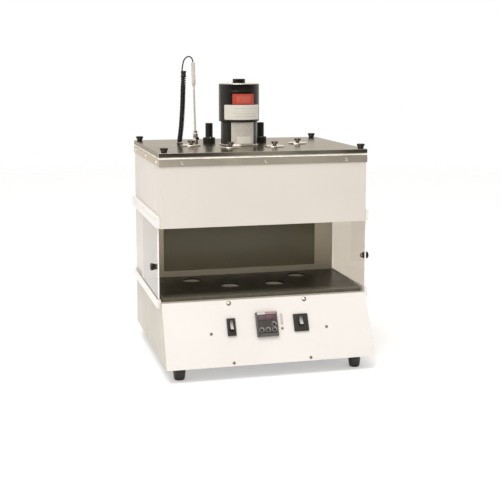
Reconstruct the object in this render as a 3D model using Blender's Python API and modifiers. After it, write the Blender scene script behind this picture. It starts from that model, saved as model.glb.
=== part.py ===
"""Four-tube viscosity bath: a benchtop constant-temperature water bath.

A stirred, insulated stainless tank sits in an upper housing.  Four
viscometer tubes stand in the tank and their tips come out under it, over a
flask shelf with four holes.  The shelf stands on a sloped-front control base
on four rubber feet.  Clear side doors run in rails on both sides.

Metres, +Z up, front towards -Y, +X to the right of somebody facing the front.
The origin is on the bench, at the centre of the footprint.
"""
import math

import bmesh
import bpy
from mathutils import Matrix, Vector

for old in list(bpy.data.objects):
    bpy.data.objects.remove(old, do_unlink=True)

# ---------------------------------------------------------------- dimensions
GAP = 0.0003            # clearance between touching pieces
SHEET = 0.0015          # painted sheet steel

OY = 0.008              # centre of the lid and tank in Y
LEG = 0.0055            # the feet stand this much taller than the datum that the heights below are laid out from
FOOT_H = 0.0277         # top of a foot, from the bench
BASE_Z0 = 0.0225        # underside of the control base
BASE_Z1 = 0.1401        # top of the control base
BASE_HW = 0.2087        # half width of base, column and upper housing
BACK_Y = 0.1757         # rear faces
SLOPE_Y0 = -0.2195      # front panel at its bottom edge
SLOPE_Y1 = -0.1653      # front panel at its top edge
SHELF_Z1 = 0.1466       # top of the flask shelf
COLUMN_Y0 = 0.0468      # back wall of the flask compartment
HOUSING_Z0 = 0.2854
HOUSING_Z1 = 0.4163
HOUSING_Y0 = -0.1597
LID_TOP = 0.4307
LID_UNDER = 0.4292
LID_SKIRT = 0.4222
LID_HW, LID_HD = 0.2100, 0.1690
TANK_HW, TANK_HD = 0.1840, 0.1430      # inside of the tank
TANK_FLOOR = 0.3039
FLANGE_TOP = 0.4182
ON_LID = LID_TOP + GAP                 # where pieces stand on the lid

TUBES = [(-0.1150, 0.0060), (-0.0465, -0.0587), (0.0465, -0.0587), (0.1150, 0.0060)]
HOLES = [(-0.1160, 0.0060), (-0.0475, -0.0582), (0.0460, -0.0587), (0.1130, 0.0070)]
MOTOR = (-0.0126, 0.0080)
HEATERS = {"left": (-0.0623, 0.0750), "right": (0.0513, 0.0750)}
PROBE = (-0.0886, 0.0930)
PROBE_LEAN = 0.0240                    # the probe leans this much in X per unit of height
CORNERS = {"front_left": (-0.1975, OY - 0.154), "front_right": (0.2010, OY - 0.154),
           "back_left": (-0.1995, OY + 0.155), "back_right": (0.1955, OY + 0.155)}
FEET = {"front_left": (-0.179, -0.186), "front_right": (0.179, -0.186),
        "back_left": (-0.179, 0.146), "back_right": (0.179, 0.146)}
DRAIN = (0.1000, 0.3180)               # x and z of the drain's centre line
DOOR_Y0, DOOR_Y1 = -0.1520, 0.0530
DOOR_KNOB = {"left": (-0.1320, 0.2075), "right": (-0.1320, 0.2100)}      # y and z

# ------------------------------------------------------------- collections
PARTS = bpy.data.collections.new("viscosity_water_bath")
CUTTERS = bpy.data.collections.new("cutters")
for c in (PARTS, CUTTERS):
    bpy.context.scene.collection.children.link(c)


def material(name, colour, roughness=0.5, metallic=0.0, alpha=1.0):
    m = bpy.data.materials.new(name)
    m.use_nodes = True
    b = m.node_tree.nodes["Principled BSDF"]
    b.inputs["Base Color"].default_value = (*colour, 1.0)
    b.inputs["Roughness"].default_value = roughness
    b.inputs["Metallic"].default_value = metallic
    b.inputs["Alpha"].default_value = alpha
    m.diffuse_color = (*colour, alpha)
    return m


WHITE = material("white_paint", (0.83, 0.81, 0.78), 0.35)
STEEL = material("stainless_steel", (0.62, 0.59, 0.55), 0.22, 1.0)
BRUSHED = material("brushed_steel", (0.50, 0.48, 0.44), 0.38, 1.0)
BLACK = material("black_plastic", (0.02, 0.02, 0.018), 0.35)
SHELF = material("black_shelf", (0.022, 0.020, 0.018), 0.42)
RUBBER = material("black_rubber", (0.02, 0.02, 0.02), 0.8)
SILICONE = material("white_silicone", (0.80, 0.78, 0.74), 0.6)
ACRYLIC = material("clear_acrylic", (0.93, 0.95, 0.95), 0.05, 0.0, 0.3)
OPAL = material("opal_acrylic", (0.30, 0.28, 0.24), 0.45)
WOOL = material("mineral_wool", (0.55, 0.48, 0.36), 0.95)
MOTOR_PAINT = material("motor_black", (0.03, 0.03, 0.028), 0.45)
BRASS = material("brass", (0.72, 0.52, 0.25), 0.3, 1.0)
GREY = material("grey_plastic", (0.55, 0.55, 0.53), 0.45)
RED_LENS = material("display_black", (0.05, 0.02, 0.02), 0.25)
GLASS = material("lamp_glass", (0.9, 0.9, 0.88), 0.2)


# ------------------------------------------------------------------ helpers
def put(name, bm_or_mesh, mat, origin=(0, 0, 0), matrix=None):
    """A new part from a bmesh in world coordinates, with its origin moved to origin."""
    mesh = bpy.data.meshes.new(name)
    bmesh.ops.recalc_face_normals(bm_or_mesh, faces=bm_or_mesh.faces)
    if matrix is not None:
        bm_or_mesh.transform(matrix)
    bm_or_mesh.transform(Matrix.Translation(-Vector(origin)))
    bm_or_mesh.to_mesh(mesh)
    bm_or_mesh.free()
    o = bpy.data.objects.new(name, mesh)
    o.location = origin
    mesh.materials.append(mat)
    mesh.shade_smooth()
    mesh.set_sharp_from_angle(angle=math.radians(32))
    PARTS.objects.link(o)
    return o


def absorb(bm, other):
    """Adds another bmesh's shape to bm as a body of its own."""
    mesh = bpy.data.meshes.new("scratch")
    other.to_mesh(mesh)
    other.free()
    bm.from_mesh(mesh)
    bpy.data.meshes.remove(mesh)
    return bm


def box(lo, hi, bevel=0.0, segments=2, along=None):
    """A box as a bmesh; bevel rounds its edges, or only those along one axis."""
    bm = bmesh.new()
    lo, hi = Vector(lo), Vector(hi)
    size = hi - lo
    bmesh.ops.create_cube(bm, size=1.0, matrix=Matrix.Translation((lo + hi) / 2) @ Matrix.Diagonal((*size, 1.0)))
    if bevel:
        edges = [e for e in bm.edges if along is None
                 or abs((e.verts[1].co - e.verts[0].co).normalized()[along]) > 0.99]
        bmesh.ops.bevel(bm, geom=edges, offset=bevel, segments=segments, affect="EDGES", profile=0.5)
    return bm


def rod(at, radius, low, high, axis=2, segments=24, top_radius=None):
    """A cylinder or cone along one axis; at gives the other two coordinates in X, Y, Z order."""
    bm = bmesh.new()
    turn = {0: Matrix.Rotation(math.pi / 2, 4, "Y"), 1: Matrix.Rotation(-math.pi / 2, 4, "X"), 2: Matrix.Identity(4)}[axis]
    centre = list(at)
    centre.insert(axis, (low + high) / 2)
    bmesh.ops.create_cone(bm, cap_ends=True, cap_tris=False, segments=segments, radius1=radius,
                          radius2=radius if top_radius is None else top_radius, depth=high - low,
                          matrix=Matrix.Translation(centre) @ turn)
    return bm


def outline(points, low, high, axis):
    """A flat outline, given in the other two coordinates, extruded along one axis as a bmesh."""
    data = bpy.data.curves.new("outline", "CURVE")
    data.dimensions, data.fill_mode = "2D", "BOTH"
    data.extrude = (high - low) / 2
    s = data.splines.new("POLY")
    s.points.add(len(points) - 1)
    for p, (a, b) in zip(s.points, points):
        p.co = (a, b, 0, 1)
    s.use_cyclic_u = True
    o = bpy.data.objects.new("outline", data)
    bpy.context.scene.collection.objects.link(o)
    mesh = bpy.data.meshes.new_from_object(o.evaluated_get(bpy.context.evaluated_depsgraph_get()))
    bpy.data.objects.remove(o, do_unlink=True)
    bm = bmesh.new()
    bm.from_mesh(mesh)
    bpy.data.meshes.remove(mesh)
    bmesh.ops.remove_doubles(bm, verts=bm.verts, dist=1e-6)
    # (a, b, c) to the world: c runs along axis, a and b along the other two in X, Y, Z order
    rows = {0: ((0, 0, 1), (1, 0, 0), (0, 1, 0)), 1: ((1, 0, 0), (0, 0, 1), (0, 1, 0)), 2: ((1, 0, 0), (0, 1, 0), (0, 0, 1))}[axis]
    bm.transform(Matrix.Translation([(low + high) / 2 if i == axis else 0 for i in range(3)]) @ Matrix(rows).to_4x4())
    bmesh.ops.recalc_face_normals(bm, faces=bm.faces)
    return bm


def modify(o, bm, operation, tag):
    """Cuts a shape from a part, or joins it on, with a Boolean whose other shape stays in the cutters."""
    mesh = bpy.data.meshes.new(o.name + tag)
    bmesh.ops.recalc_face_normals(bm, faces=bm.faces)
    bm.to_mesh(mesh)
    bm.free()
    c = bpy.data.objects.new(o.name + tag, mesh)
    c.hide_render, c.display_type = True, "WIRE"
    CUTTERS.objects.link(c)
    m = o.modifiers.new(tag, "BOOLEAN")
    m.object, m.operation, m.solver = c, operation, "EXACT"
    return o


def cut(o, *shapes, tag="_cutter"):
    bm = bmesh.new()
    for s in shapes:
        absorb(bm, s)
    return modify(o, bm, "DIFFERENCE", tag)


def join(o, shape, tag="_added"):
    return modify(o, shape, "UNION", tag)


def turned(name, profile, mat, at=(0, 0, 0), axis=2, steps=32, closed=False, sign=1):
    """A turned part: profile points (radius, height) run down the outer side; at is its origin on the axis."""
    mesh = bpy.data.meshes.new(name)
    edges = [(i, i + 1) for i in range(len(profile) - 1)] + ([(len(profile) - 1, 0)] if closed else [])
    mesh.from_pydata([(r, 0, z) for r, z in profile], edges, [])
    o = bpy.data.objects.new(name, mesh)
    mesh.materials.append(mat)
    o.location = at
    if axis == 0:
        o.rotation_euler = (0, sign * math.pi / 2, 0)
    elif axis == 1:
        o.rotation_euler = (-sign * math.pi / 2, 0, 0)
    PARTS.objects.link(o)
    m = o.modifiers.new("turn", "SCREW")
    m.axis, m.steps, m.render_steps = "Z", steps, steps
    m.use_merge_vertices, m.merge_threshold = True, 0.00001
    m.use_smooth_shade = True
    return o


def bent_tube(name, points, radius, mat, resolution=2, keep=True):
    data = bpy.data.curves.new(name, "CURVE")
    data.dimensions, data.bevel_depth, data.bevel_resolution = "3D", radius, resolution
    data.use_fill_caps = True
    s = data.splines.new("POLY")
    s.points.add(len(points) - 1)
    for p, q in zip(s.points, points):
        p.co = (*q, 1)
    data.materials.append(mat)
    o = bpy.data.objects.new(name, data)
    (PARTS if keep else CUTTERS).objects.link(o)
    return o


def tube_bmesh(points, radius, resolution=2):
    o = bent_tube("tube_guide", points, radius, BLACK, resolution, keep=False)
    mesh = bpy.data.meshes.new_from_object(o.evaluated_get(bpy.context.evaluated_depsgraph_get()))
    bpy.data.objects.remove(o, do_unlink=True)
    bm = bmesh.new()
    bm.from_mesh(mesh)
    bpy.data.meshes.remove(mesh)
    bmesh.ops.remove_doubles(bm, verts=bm.verts, dist=1e-6)
    return bm


def smooth_curve(points, step):
    """Points at an even step along a Catmull-Rom curve through the given points."""
    p = [Vector(q) for q in points]
    p = [2 * p[0] - p[1], *p, 2 * p[-1] - p[-2]]
    fine = []
    for i in range(1, len(p) - 2):
        for k in range(24):
            t = k / 24
            fine.append(0.5 * ((2 * p[i]) + (p[i + 1] - p[i - 1]) * t + (2 * p[i - 1] - 5 * p[i] + 4 * p[i + 1] - p[i + 2]) * t * t
                               + (3 * p[i] - p[i - 1] - 3 * p[i + 1] + p[i + 2]) * t ** 3))
    fine.append(p[-2])
    long = sum((b - a).length for a, b in zip(fine, fine[1:]))
    count = max(2, round(long / step))
    out, walked, want = [fine[0]], 0.0, long / count
    for a, b in zip(fine, fine[1:]):
        d = (b - a).length
        while d and walked + d >= want - 1e-9 and len(out) < count:
            out.append(a + (b - a) * ((want - walked) / d))
            want += long / count
        walked += d
    out.append(fine[-1])
    return out


# The front panel's own frame: x, s up along the slope from its bottom edge, d out of the panel.
_t = Vector((0, SLOPE_Y1 - SLOPE_Y0, BASE_Z1 - BASE_Z0)).normalized()
_n = Vector((1, 0, 0)).cross(_t)
PANEL = Matrix.Translation((0, SLOPE_Y0, BASE_Z0)) @ Matrix(((1, _t.x, _n.x), (0, _t.y, _n.y), (0, _t.z, _n.z))).to_4x4()


def on_panel(x, s, d=0.0):
    return PANEL @ Vector((x, s, d))


# ------------------------------------------------------------- control base
def slope(inset, z):
    """Y of the front slope at height z, moved back by inset."""
    return SLOPE_Y0 + (SLOPE_Y1 - SLOPE_Y0) * (z - BASE_Z0) / (BASE_Z1 - BASE_Z0) + inset


CONTROLLER = (-0.0048, 0.0767, 0.0440, 0.0488)     # x, s, width, height of its bezel
KEYS = [(-0.0170, 0.0660), (-0.0040, 0.0660), (0.0090, 0.0660), (0.0090, 0.0765)]
MAINS = (-0.0762, 0.0757, 0.0172, 0.0345)
STIR = (0.0650, 0.0763, 0.0300, 0.0350)
LAMP_PILOT = (0.0262, 0.0673)

base = put("base_housing", outline([(BACK_Y, BASE_Z0), (BACK_Y, BASE_Z1), (slope(0.0021, BASE_Z1), BASE_Z1),
                                    (slope(0.0021, BASE_Z0), BASE_Z0)], -BASE_HW, BASE_HW, 0), WHITE)
cut(base, outline([(BACK_Y - SHEET, BASE_Z0 - 0.01), (BACK_Y - SHEET, BASE_Z1 - SHEET), (-0.30, BASE_Z1 - SHEET),
                   (-0.30, BASE_Z0 - 0.01)], -BASE_HW + SHEET, BASE_HW - SHEET, 0), tag="_inside")
cut(base, box((-0.1435, BACK_Y - 0.01, 0.0675), (-0.1165, BACK_Y + 0.01, 0.0875)), tag="_inlet_hole")

panel = put("front_panel", outline([(SLOPE_Y0, BASE_Z0), (SLOPE_Y1, BASE_Z1), (slope(0.0017, BASE_Z1), BASE_Z1),
                                    (slope(0.0017, BASE_Z0), BASE_Z0)], -BASE_HW, BASE_HW, 0), WHITE)


def panel_box(x, s, w, h, d0, d1, bevel=0.0, segments=2, along=None):
    bm = box((x - w / 2, s - h / 2, d0), (x + w / 2, s + h / 2, d1), bevel, segments, along)
    bm.transform(PANEL)
    return bm


def panel_rod(x, s, r, d0, d1, segments=24, top=None):
    bm = rod((x, s), r, d0, d1, 2, segments, top)
    bm.transform(PANEL)
    return bm


cut(panel,
    panel_box(CONTROLLER[0], CONTROLLER[1], 0.0384, 0.0454, -0.01, 0.01),
    panel_box(MAINS[0], MAINS[1], 0.0126, 0.0300, -0.01, 0.01),
    panel_box(STIR[0], STIR[1], 0.0226, 0.0276, -0.01, 0.01))

bottom = put("bottom_plate", box((-0.2068, -0.2160, 0.0228), (0.2068, 0.1738, 0.0243)), BRUSHED)
cut(bottom, *[rod(p, 0.0029, 0.01, 0.04, segments=16) for p in FEET.values()])

for where, (x, y) in FEET.items():
    turned("foot_" + where, [(0, 0.0345), (0.0025, 0.0345), (0.0025, FOOT_H), (0.0104, FOOT_H), (0.0118, 0.0215),
                             (0.0122, 0.0150), (0.0117, 0.0055), (0.0107, 0.0012), (0.0094, 0.0), (0, 0)],
           RUBBER, (x, y, 0), steps=16)

# The temperature controller: its bezel in front of the panel and its case behind.
ctl = put("temperature_controller", panel_box(*CONTROLLER, GAP, 0.0062, bevel=0.0012, segments=2), BLACK)
join(ctl, panel_box(CONTROLLER[0], CONTROLLER[1], 0.0376, 0.0446, -0.0700, 0.0030), tag="_case")
cut(ctl, panel_box(CONTROLLER[0], 0.0905, 0.0350, 0.0150, 0.0054, 0.02),
    *[panel_rod(x, s, 0.0037, 0.0026, 0.02, 16) for x, s in KEYS])
for i, (x, s) in enumerate(KEYS, 1):
    bm = rod((x, s), 0.0033, 0.0041, 0.0072, 2, 14)
    absorb(bm, rod((x, s), 0.0033, 0.0072, 0.0078, 2, 14, 0.0026))
    bmesh.ops.remove_doubles(bm, verts=bm.verts, dist=1e-6)
    inner = [f for f in bm.faces if abs(f.calc_center_median().z - 0.0072) < 1e-6]
    bmesh.ops.delete(bm, geom=inner, context="FACES_ONLY")
    put(f"controller_key_{i}", bm, BLACK, on_panel(x, s, 0.0041), PANEL)


def rocker(name, x, s, width, length, face, mat):
    """A rocker on a cross pivot, resting with its lower end out; the profile is in (s, d)."""
    half, tilt = length / 2, math.radians(12)
    prof = [(-half, 0.0030), (-half + 0.0008, 0.0036), (-half * 0.45, 0.0022), (0, 0.0016), (half * 0.45, 0.0022),
            (half - 0.0008, 0.0036), (half, 0.0030), (half * 0.75, -0.0030), (-half * 0.75, -0.0030)]
    bm = outline(prof, -width / 2, width / 2, 0)
    turn = Matrix.Translation((x, s, face)) @ Matrix.Translation((0, 0, -0.001)) @ Matrix.Rotation(-tilt, 4, "X") @ Matrix.Translation((0, 0, 0.001))
    bm.transform(turn)
    return put(name, bm, mat, on_panel(x, s, face - 0.001), PANEL)


mains = put("mains_switch", panel_box(*MAINS, GAP, 0.0042, bevel=0.0008, segments=2), BLACK)
join(mains, panel_box(MAINS[0], MAINS[1], 0.0118, 0.0292, -0.0420, 0.0030), tag="_body")
cut(mains, panel_box(MAINS[0], 0.0785, 0.0084, 0.0216, -0.0022, 0.02))
rocker("mains_rocker", MAINS[0], 0.0785, 0.0076, 0.0190, 0.0042, GREY)

stir = put("stirrer_switch", panel_box(*STIR, GAP, 0.0034, bevel=0.0008, segments=2), BLACK)
join(stir, panel_box(STIR[0], STIR[1], 0.0218, 0.0268, -0.0360, 0.0020), tag="_body")
cut(stir, panel_box(STIR[0], 0.0792, 0.0098, 0.0190, -0.0030, 0.02))
rocker("stirrer_rocker", STIR[0], 0.0792, 0.0088, 0.0166, 0.0034, GREY)

inlet = put("power_inlet", box((-0.1455, BACK_Y + GAP, 0.0652), (-0.1145, BACK_Y + 0.0030, 0.0898), 0.0010, 2), BLACK)
join(inlet, box((-0.1431, 0.1520, 0.0679), (-0.1169, BACK_Y + 0.0015, 0.0871)), tag="_body")
cut(inlet, box((-0.1420, 0.1600, 0.0695), (-0.1180, BACK_Y + 0.02, 0.0855), 0.0030, 2, 1))

relay = put("heater_relay", box((0.060, 0.090, 0.0250), (0.105, 0.150, 0.0300)), BLACK)
join(relay, box((0.064, 0.092, 0.0290), (0.101, 0.148, 0.0480)), tag="_body")

# ------------------------------------------------------- flask compartment
shelf = put("flask_shelf", box((-0.2055, -0.1510, BASE_Z1 + GAP), (0.2055, 0.0465, SHELF_Z1), 0.0050, 3, 2), SHELF)
cut(shelf, *[rod(h, 0.0200, 0.12, 0.16, segments=32) for h in HOLES])

column = put("rear_column", box((-BASE_HW, COLUMN_Y0 + SHEET + GAP, BASE_Z1 + GAP), (BASE_HW, BACK_Y - SHEET - GAP, HOUSING_Z0 - GAP)), WHITE)
cut(column, box((-BASE_HW + SHEET, 0.0, BASE_Z1 + GAP + SHEET), (BASE_HW - SHEET, 0.25, HOUSING_Z0 - GAP - SHEET)))
back = put("compartment_back", box((-BASE_HW, COLUMN_Y0, BASE_Z1 + GAP), (BASE_HW, COLUMN_Y0 + SHEET, HOUSING_Z0 - GAP)), BRUSHED)
cut(back, box((-0.1680, 0.0, 0.1590), (0.1680, 0.1, 0.2760), 0.0020, 2, 1))
put("light_diffuser", box((-0.2060, COLUMN_Y0 + SHEET + GAP, 0.1426), (0.2060, COLUMN_Y0 + SHEET + GAP + 0.0030, 0.2828)), OPAL)
lamp = turned("lamp_tube", [(0, 0.1420), (0.0030, 0.1420), (0.0030, 0.1360), (0.0080, 0.1355), (0.0080, -0.1355), (0.0030, -0.1360),
                            (0.0030, -0.1420), (0, -0.1420)], GLASS, (0, 0.0950, 0.2120), axis=0, steps=14)
put("rear_cover", box((-BASE_HW, BACK_Y - SHEET, BASE_Z1 + GAP), (BASE_HW, BACK_Y, HOUSING_Z0 - GAP)), WHITE)

# Side rails, doors and their knobs, the same on both sides.
for side, sgn in (("left", -1), ("right", 1)):
    def across(profile, y0, y1):
        return outline([(sgn * x, z) for x, z in profile], y0, y1, 1)
    put("lower_rail_" + side, across([(0.2090, 0.1292), (0.2158, 0.1292), (0.2158, 0.1466), (0.2138, 0.1466), (0.2138, 0.1340),
                                      (0.2102, 0.1340), (0.2102, 0.1466), (0.2090, 0.1466)], HOUSING_Y0 + 0.0015, BACK_Y), WHITE)
    put("upper_rail_" + side, across([(0.2090, 0.2862), (0.2102, 0.2862), (0.2102, 0.3020), (0.2138, 0.3020), (0.2138, 0.2862),
                                      (0.2158, 0.2862), (0.2158, 0.3075), (0.2090, 0.3075)], HOUSING_Y0 + 0.0015, BACK_Y), WHITE)
    lo, hi = sorted((sgn * 0.2105, sgn * 0.2135))
    y, z = DOOR_KNOB[side]
    door = put("side_door_" + side, box((lo, DOOR_Y0, 0.1343), (hi, DOOR_Y1, 0.2990), 0.0003, 1), ACRYLIC)
    cut(door, rod((y, z), 0.0023, lo - 0.01, hi + 0.01, 0, 16))
    turned("door_knob_" + side, [(0, 0.2250), (0.0054, 0.2250), (0.0069, 0.2241), (0.0073, 0.2222), (0.0063, 0.2175), (0.0052, 0.2145),
                                 (0.0052, 0.2138), (0.0019, 0.2138), (0.0019, 0.2102), (0.0042, 0.2102), (0.0042, 0.2094), (0, 0.2094)],
           BLACK, (0, y, z), axis=0, steps=18, sign=sgn)

# ------------------------------------------------------------ upper housing
housing = put("upper_housing", box((-BASE_HW, HOUSING_Y0, HOUSING_Z0), (BASE_HW, BACK_Y, HOUSING_Z1), 0.0010, 2, 2), WHITE)
cut(housing, box((-BASE_HW + SHEET, HOUSING_Y0 + SHEET, HOUSING_Z0 + SHEET), (BASE_HW - SHEET, BACK_Y - SHEET, 0.5)), tag="_inside")
cut(housing, *[rod(t, 0.0088, 0.27, 0.295, segments=20) for t in TUBES], rod(DRAIN, 0.0068, 0.17, 0.19, 1, 20), tag="_holes")

wool = put("insulation", box((-0.2067, -0.1577, 0.2873), (0.2067, 0.1737, 0.4120)), WOOL)
cut(wool, box((-0.1862, -0.1372, 0.3018), (0.1862, 0.1532, 0.5)), tag="_inside")
cut(wool, *[rod(t, 0.0100, 0.28, 0.31, segments=20) for t in TUBES], rod(DRAIN, 0.0075, 0.14, 0.19, 1, 20), tag="_holes")

tank = put("tank", box((-0.2103, OY - 0.1693, 0.4046), (0.2103, OY + 0.1693, FLANGE_TOP), 0.0010, 2, 2), STEEL)
cut(tank, box((-0.2091, OY - 0.1681, 0.39), (0.2091, OY + 0.1681, FLANGE_TOP - SHEET)), tag="_skirt")
join(tank, box((-TANK_HW - SHEET, OY - TANK_HD - SHEET, TANK_FLOOR - SHEET), (TANK_HW + SHEET, OY + TANK_HD + SHEET, FLANGE_TOP - 0.0005)), tag="_basin")
cut(tank, box((-TANK_HW, OY - TANK_HD, TANK_FLOOR), (TANK_HW, OY + TANK_HD, 0.5)), tag="_inside")
cut(tank, *[rod(t, 0.0083, 0.29, 0.315, segments=20) for t in TUBES], rod(DRAIN, 0.0064, 0.14, 0.16, 1, 20),
    *[rod(k, 0.0027, 0.41, 0.43, segments=16) for k in CORNERS.values()], tag="_holes")

for i, t in enumerate(TUBES, 1):
    turned(f"viscometer_tube_{i}",
           [(0.0009, 0.3010), (0.0009, 0.3090), (0.0060, 0.3110), (0.0150, 0.3180), (0.0150, 0.4000), (0.0195, 0.4040), (0.0195, 0.4280),
            (0.0210, 0.4280), (0.0210, 0.4025), (0.0166, 0.3985), (0.0166, 0.3070), (0.0150, 0.3042), (0.0080, 0.3042), (0.0080, 0.2800),
            (0.0065, 0.2725), (0.0040, 0.2725), (0.0030, 0.2760), (0.0030, 0.2900)],
           BRASS, (*t, 0), steps=18, closed=True)

valve = turned("drain_valve",
               [(0, -0.2195 + 0.0035), (0.0046, -0.2195 + 0.0035), (0.0046, -0.2195), (0.0080, -0.2195), (0.0085, -0.2185), (0.0085, -0.2085), (0.0105, -0.2075),
                (0.0105, -0.1895), (0.0085, -0.1885), (0.0085, -0.1790), (0.0060, -0.1790), (0.0060, -0.1485), (0.0046, -0.1485), (0.0046, -0.1790), (0, -0.1790)],
               BRASS, (DRAIN[0], 0, DRAIN[1]), axis=1, steps=18, sign=-1)
join(valve, rod((DRAIN[0], 0.1985), 0.0055, DRAIN[1] + 0.004, DRAIN[1] + 0.0145, segments=20), tag="_boss")
lever = put("drain_lever", rod((DRAIN[0], 0.1985), 0.0075, DRAIN[1] + 0.0148, DRAIN[1] + 0.0188, segments=24), BRUSHED, (DRAIN[0], 0.1985, DRAIN[1] + 0.0148))
join(lever, box((DRAIN[0] - 0.0450, 0.1985 - 0.0050, DRAIN[1] + 0.0150), (DRAIN[0] - 0.002, 0.1985 + 0.0050, DRAIN[1] + 0.0182), 0.0010, 2), tag="_arm")

gasket = put("lid_gasket", box((-0.2095, OY - 0.1685, FLANGE_TOP + GAP), (0.2095, OY + 0.1685, LID_SKIRT - GAP)), SILICONE)
cut(gasket, box((-0.1855, OY - 0.1435, 0.41), (0.1855, OY + 0.1435, 0.43)),
    *[rod(k, 0.0030, 0.41, 0.43, segments=16) for k in CORNERS.values()])

# ------------------------------------------------------------- lid assembly
lid = put("lid", box((-LID_HW, OY - LID_HD, LID_SKIRT), (LID_HW, OY + LID_HD, LID_TOP), 0.0012, 2), STEEL)
cut(lid, box((-LID_HW + SHEET, OY - LID_HD + SHEET, 0.40), (LID_HW - SHEET, OY + LID_HD - SHEET, LID_UNDER)), tag="_inside")
cut(lid, *[rod(t, 0.0185, 0.42, 0.44, segments=24) for t in TUBES], rod(MOTOR, 0.0070, 0.42, 0.44, segments=16),
    *[rod(h, 0.0076, 0.42, 0.44, segments=16) for h in HEATERS.values()], rod(PROBE, 0.0050, 0.42, 0.44, segments=16),
    *[rod(k, 0.0030, 0.42, 0.44, segments=16) for k in CORNERS.values()], tag="_holes")

for i, t in enumerate(TUBES, 1):
    turned(f"tube_cap_{i}", [(0, 0.4414), (0.0066, 0.4414), (0.0077, 0.4407), (0.0078, 0.4396), (0.0036, 0.4343), (0.0034, 0.4334), (0.0100, 0.4330),
                             (0.0184, 0.4330), (0.0198, 0.4324), (0.0200, 0.4316), (0.0198, ON_LID), (0, ON_LID)], STEEL, (*t, 0), steps=24)

for where, k in CORNERS.items():
    turned("lid_knob_" + where, [(0, 0.4402), (0.0070, 0.4402), (0.0080, 0.4394), (0.0081, 0.4372), (0.0062, 0.4340), (0.0058, ON_LID), (0.0022, ON_LID),
                                 (0.0022, 0.4125), (0, 0.4125)], BLACK, (*k, 0), steps=16)

turned("motor_lower_housing", [(0, 0.4797), (0.0366, 0.4797), (0.0378, 0.4785), (0.0378, 0.4332), (0.0407, 0.4325), (0.0407, ON_LID), (0.0046, ON_LID),
                               (0.0046, 0.4520), (0, 0.4520)], MOTOR_PAINT, (*MOTOR, 0), steps=36)
turned("motor_upper_housing", [(0, 0.5676), (0.0122, 0.5676), (0.0132, 0.5666), (0.0132, 0.5594), (0.0385, 0.5590), (0.0414, 0.5578), (0.0421, 0.5558),
                               (0.0421, 0.4812), (0.0412, 0.4800), (0, 0.4800)], MOTOR_PAINT, (*MOTOR, 0), steps=36)

shaft = turned("stirrer_shaft", [(0, 0.4500), (0.0034, 0.4500), (0.0040, 0.4494), (0.0040, 0.3500), (0.0075, 0.3490), (0.0075, 0.3360), (0.0060, 0.3340), (0, 0.3340)],
               STEEL, (*MOTOR, 0), steps=16)
for k in range(3):
    bm = box((0.0050, -0.0075, -0.0009), (0.0250, 0.0075, 0.0009), 0.0060, 3, 2)
    bm.transform(Matrix.Translation((*MOTOR, 0.3425)) @ Matrix.Rotation(k * math.tau / 3, 4, "Z") @ Matrix.Rotation(math.radians(32), 4, "X"))
    join(shaft, bm, tag=f"_blade_{k + 1}")

for side, (x, y) in HEATERS.items():
    head = turned("immersion_heater_" + side,
                  [(0, 0.4725), (0.0070, 0.4725), (0.0079, 0.4715), (0.0079, 0.4420), (0.0122, 0.4417), (0.0132, 0.4407), (0.0132, ON_LID), (0.0071, ON_LID),
                   (0.0071, 0.4220), (0, 0.4220)], BLACK, (x, y, 0), steps=20)
    path = [(-0.0040, 0.4300), (-0.0040, 0.4180), (-0.0052, 0.4130), (-0.0120, 0.4020), (-0.0165, 0.3940), (-0.0180, 0.3860), (-0.0180, 0.3400)]
    arc = [(0.018 * math.cos(a), 0.340 + 0.018 * math.sin(a)) for a in [math.pi + math.pi * j / 8 for j in range(1, 8)]]
    path = path + arc + [(-a, b) for a, b in reversed(path)]
    join(head, tube_bmesh([(x + a, y, b) for a, b in path], 0.0029), tag="_element")

gland = turned("probe_gland", [(0.0046, 0.4556), (0.0048, 0.4500), (0.0058, 0.4490), (0.0058, 0.4410), (0.0044, 0.4404), (0.0044, 0.4366), (0.0064, 0.4360), (0.0064, ON_LID),
                               (0.0046, ON_LID), (0.0046, 0.4245), (0.0033, 0.4245), (0.0033, 0.4556)], STEEL, (*PROBE, 0), steps=16, closed=True)
probe = turned("temperature_probe", [(0, 0.1707), (0.0032, 0.1707), (0.0042, 0.1695), (0.0042, 0.1266), (0.0025, 0.1202), (0.0023, 0.1190), (0.0023, -0.0930), (0.0012, -0.0950),
                                     (0, -0.0950)], STEEL, (*PROBE, LID_TOP), steps=14)
probe.rotation_euler = (0, -math.atan(PROBE_LEAN), 0)

# The probe's lead: a coiled stretch that stands on the lid, its sleeve, and a thin arch into the probe.
COIL = [(-0.1301, 0.0540, 0.4315), (-0.1299, 0.0542, 0.4400), (-0.1257, 0.0580, 0.4679), (-0.1222, 0.0630, 0.5035), (-0.1201, 0.0660, 0.5391), (-0.1186, 0.0682, 0.5663), (-0.1178, 0.0690, 0.5838)]
LEAD = [(-0.1208, 0.0688, 0.5842), (-0.1205, 0.0692, 0.5900), (-0.1170, 0.0722, 0.6040), (-0.1106, 0.0775, 0.6112), (-0.1040, 0.0830, 0.6136), (-0.0975, 0.0885, 0.6112),
        (-0.0938, 0.0920, 0.6055), (-0.0929, 0.0930, 0.6020)]
bent_tube("coiled_lead", smooth_curve(COIL, 0.0150), 0.0056, BLACK, 2)
bent_tube("probe_lead", smooth_curve(LEAD, 0.0040), 0.0014, BLACK, 2)

# All but the feet stand on the datum, which is LEG above the bench.
for o in [*PARTS.objects, *CUTTERS.objects]:
    if not o.name.startswith("foot_"):
        o.location.z += LEG
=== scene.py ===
"""The looks of the four-tube viscosity bath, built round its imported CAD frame."""

import math

import bmesh
import bpy
from mathutils import Matrix, Vector


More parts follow.
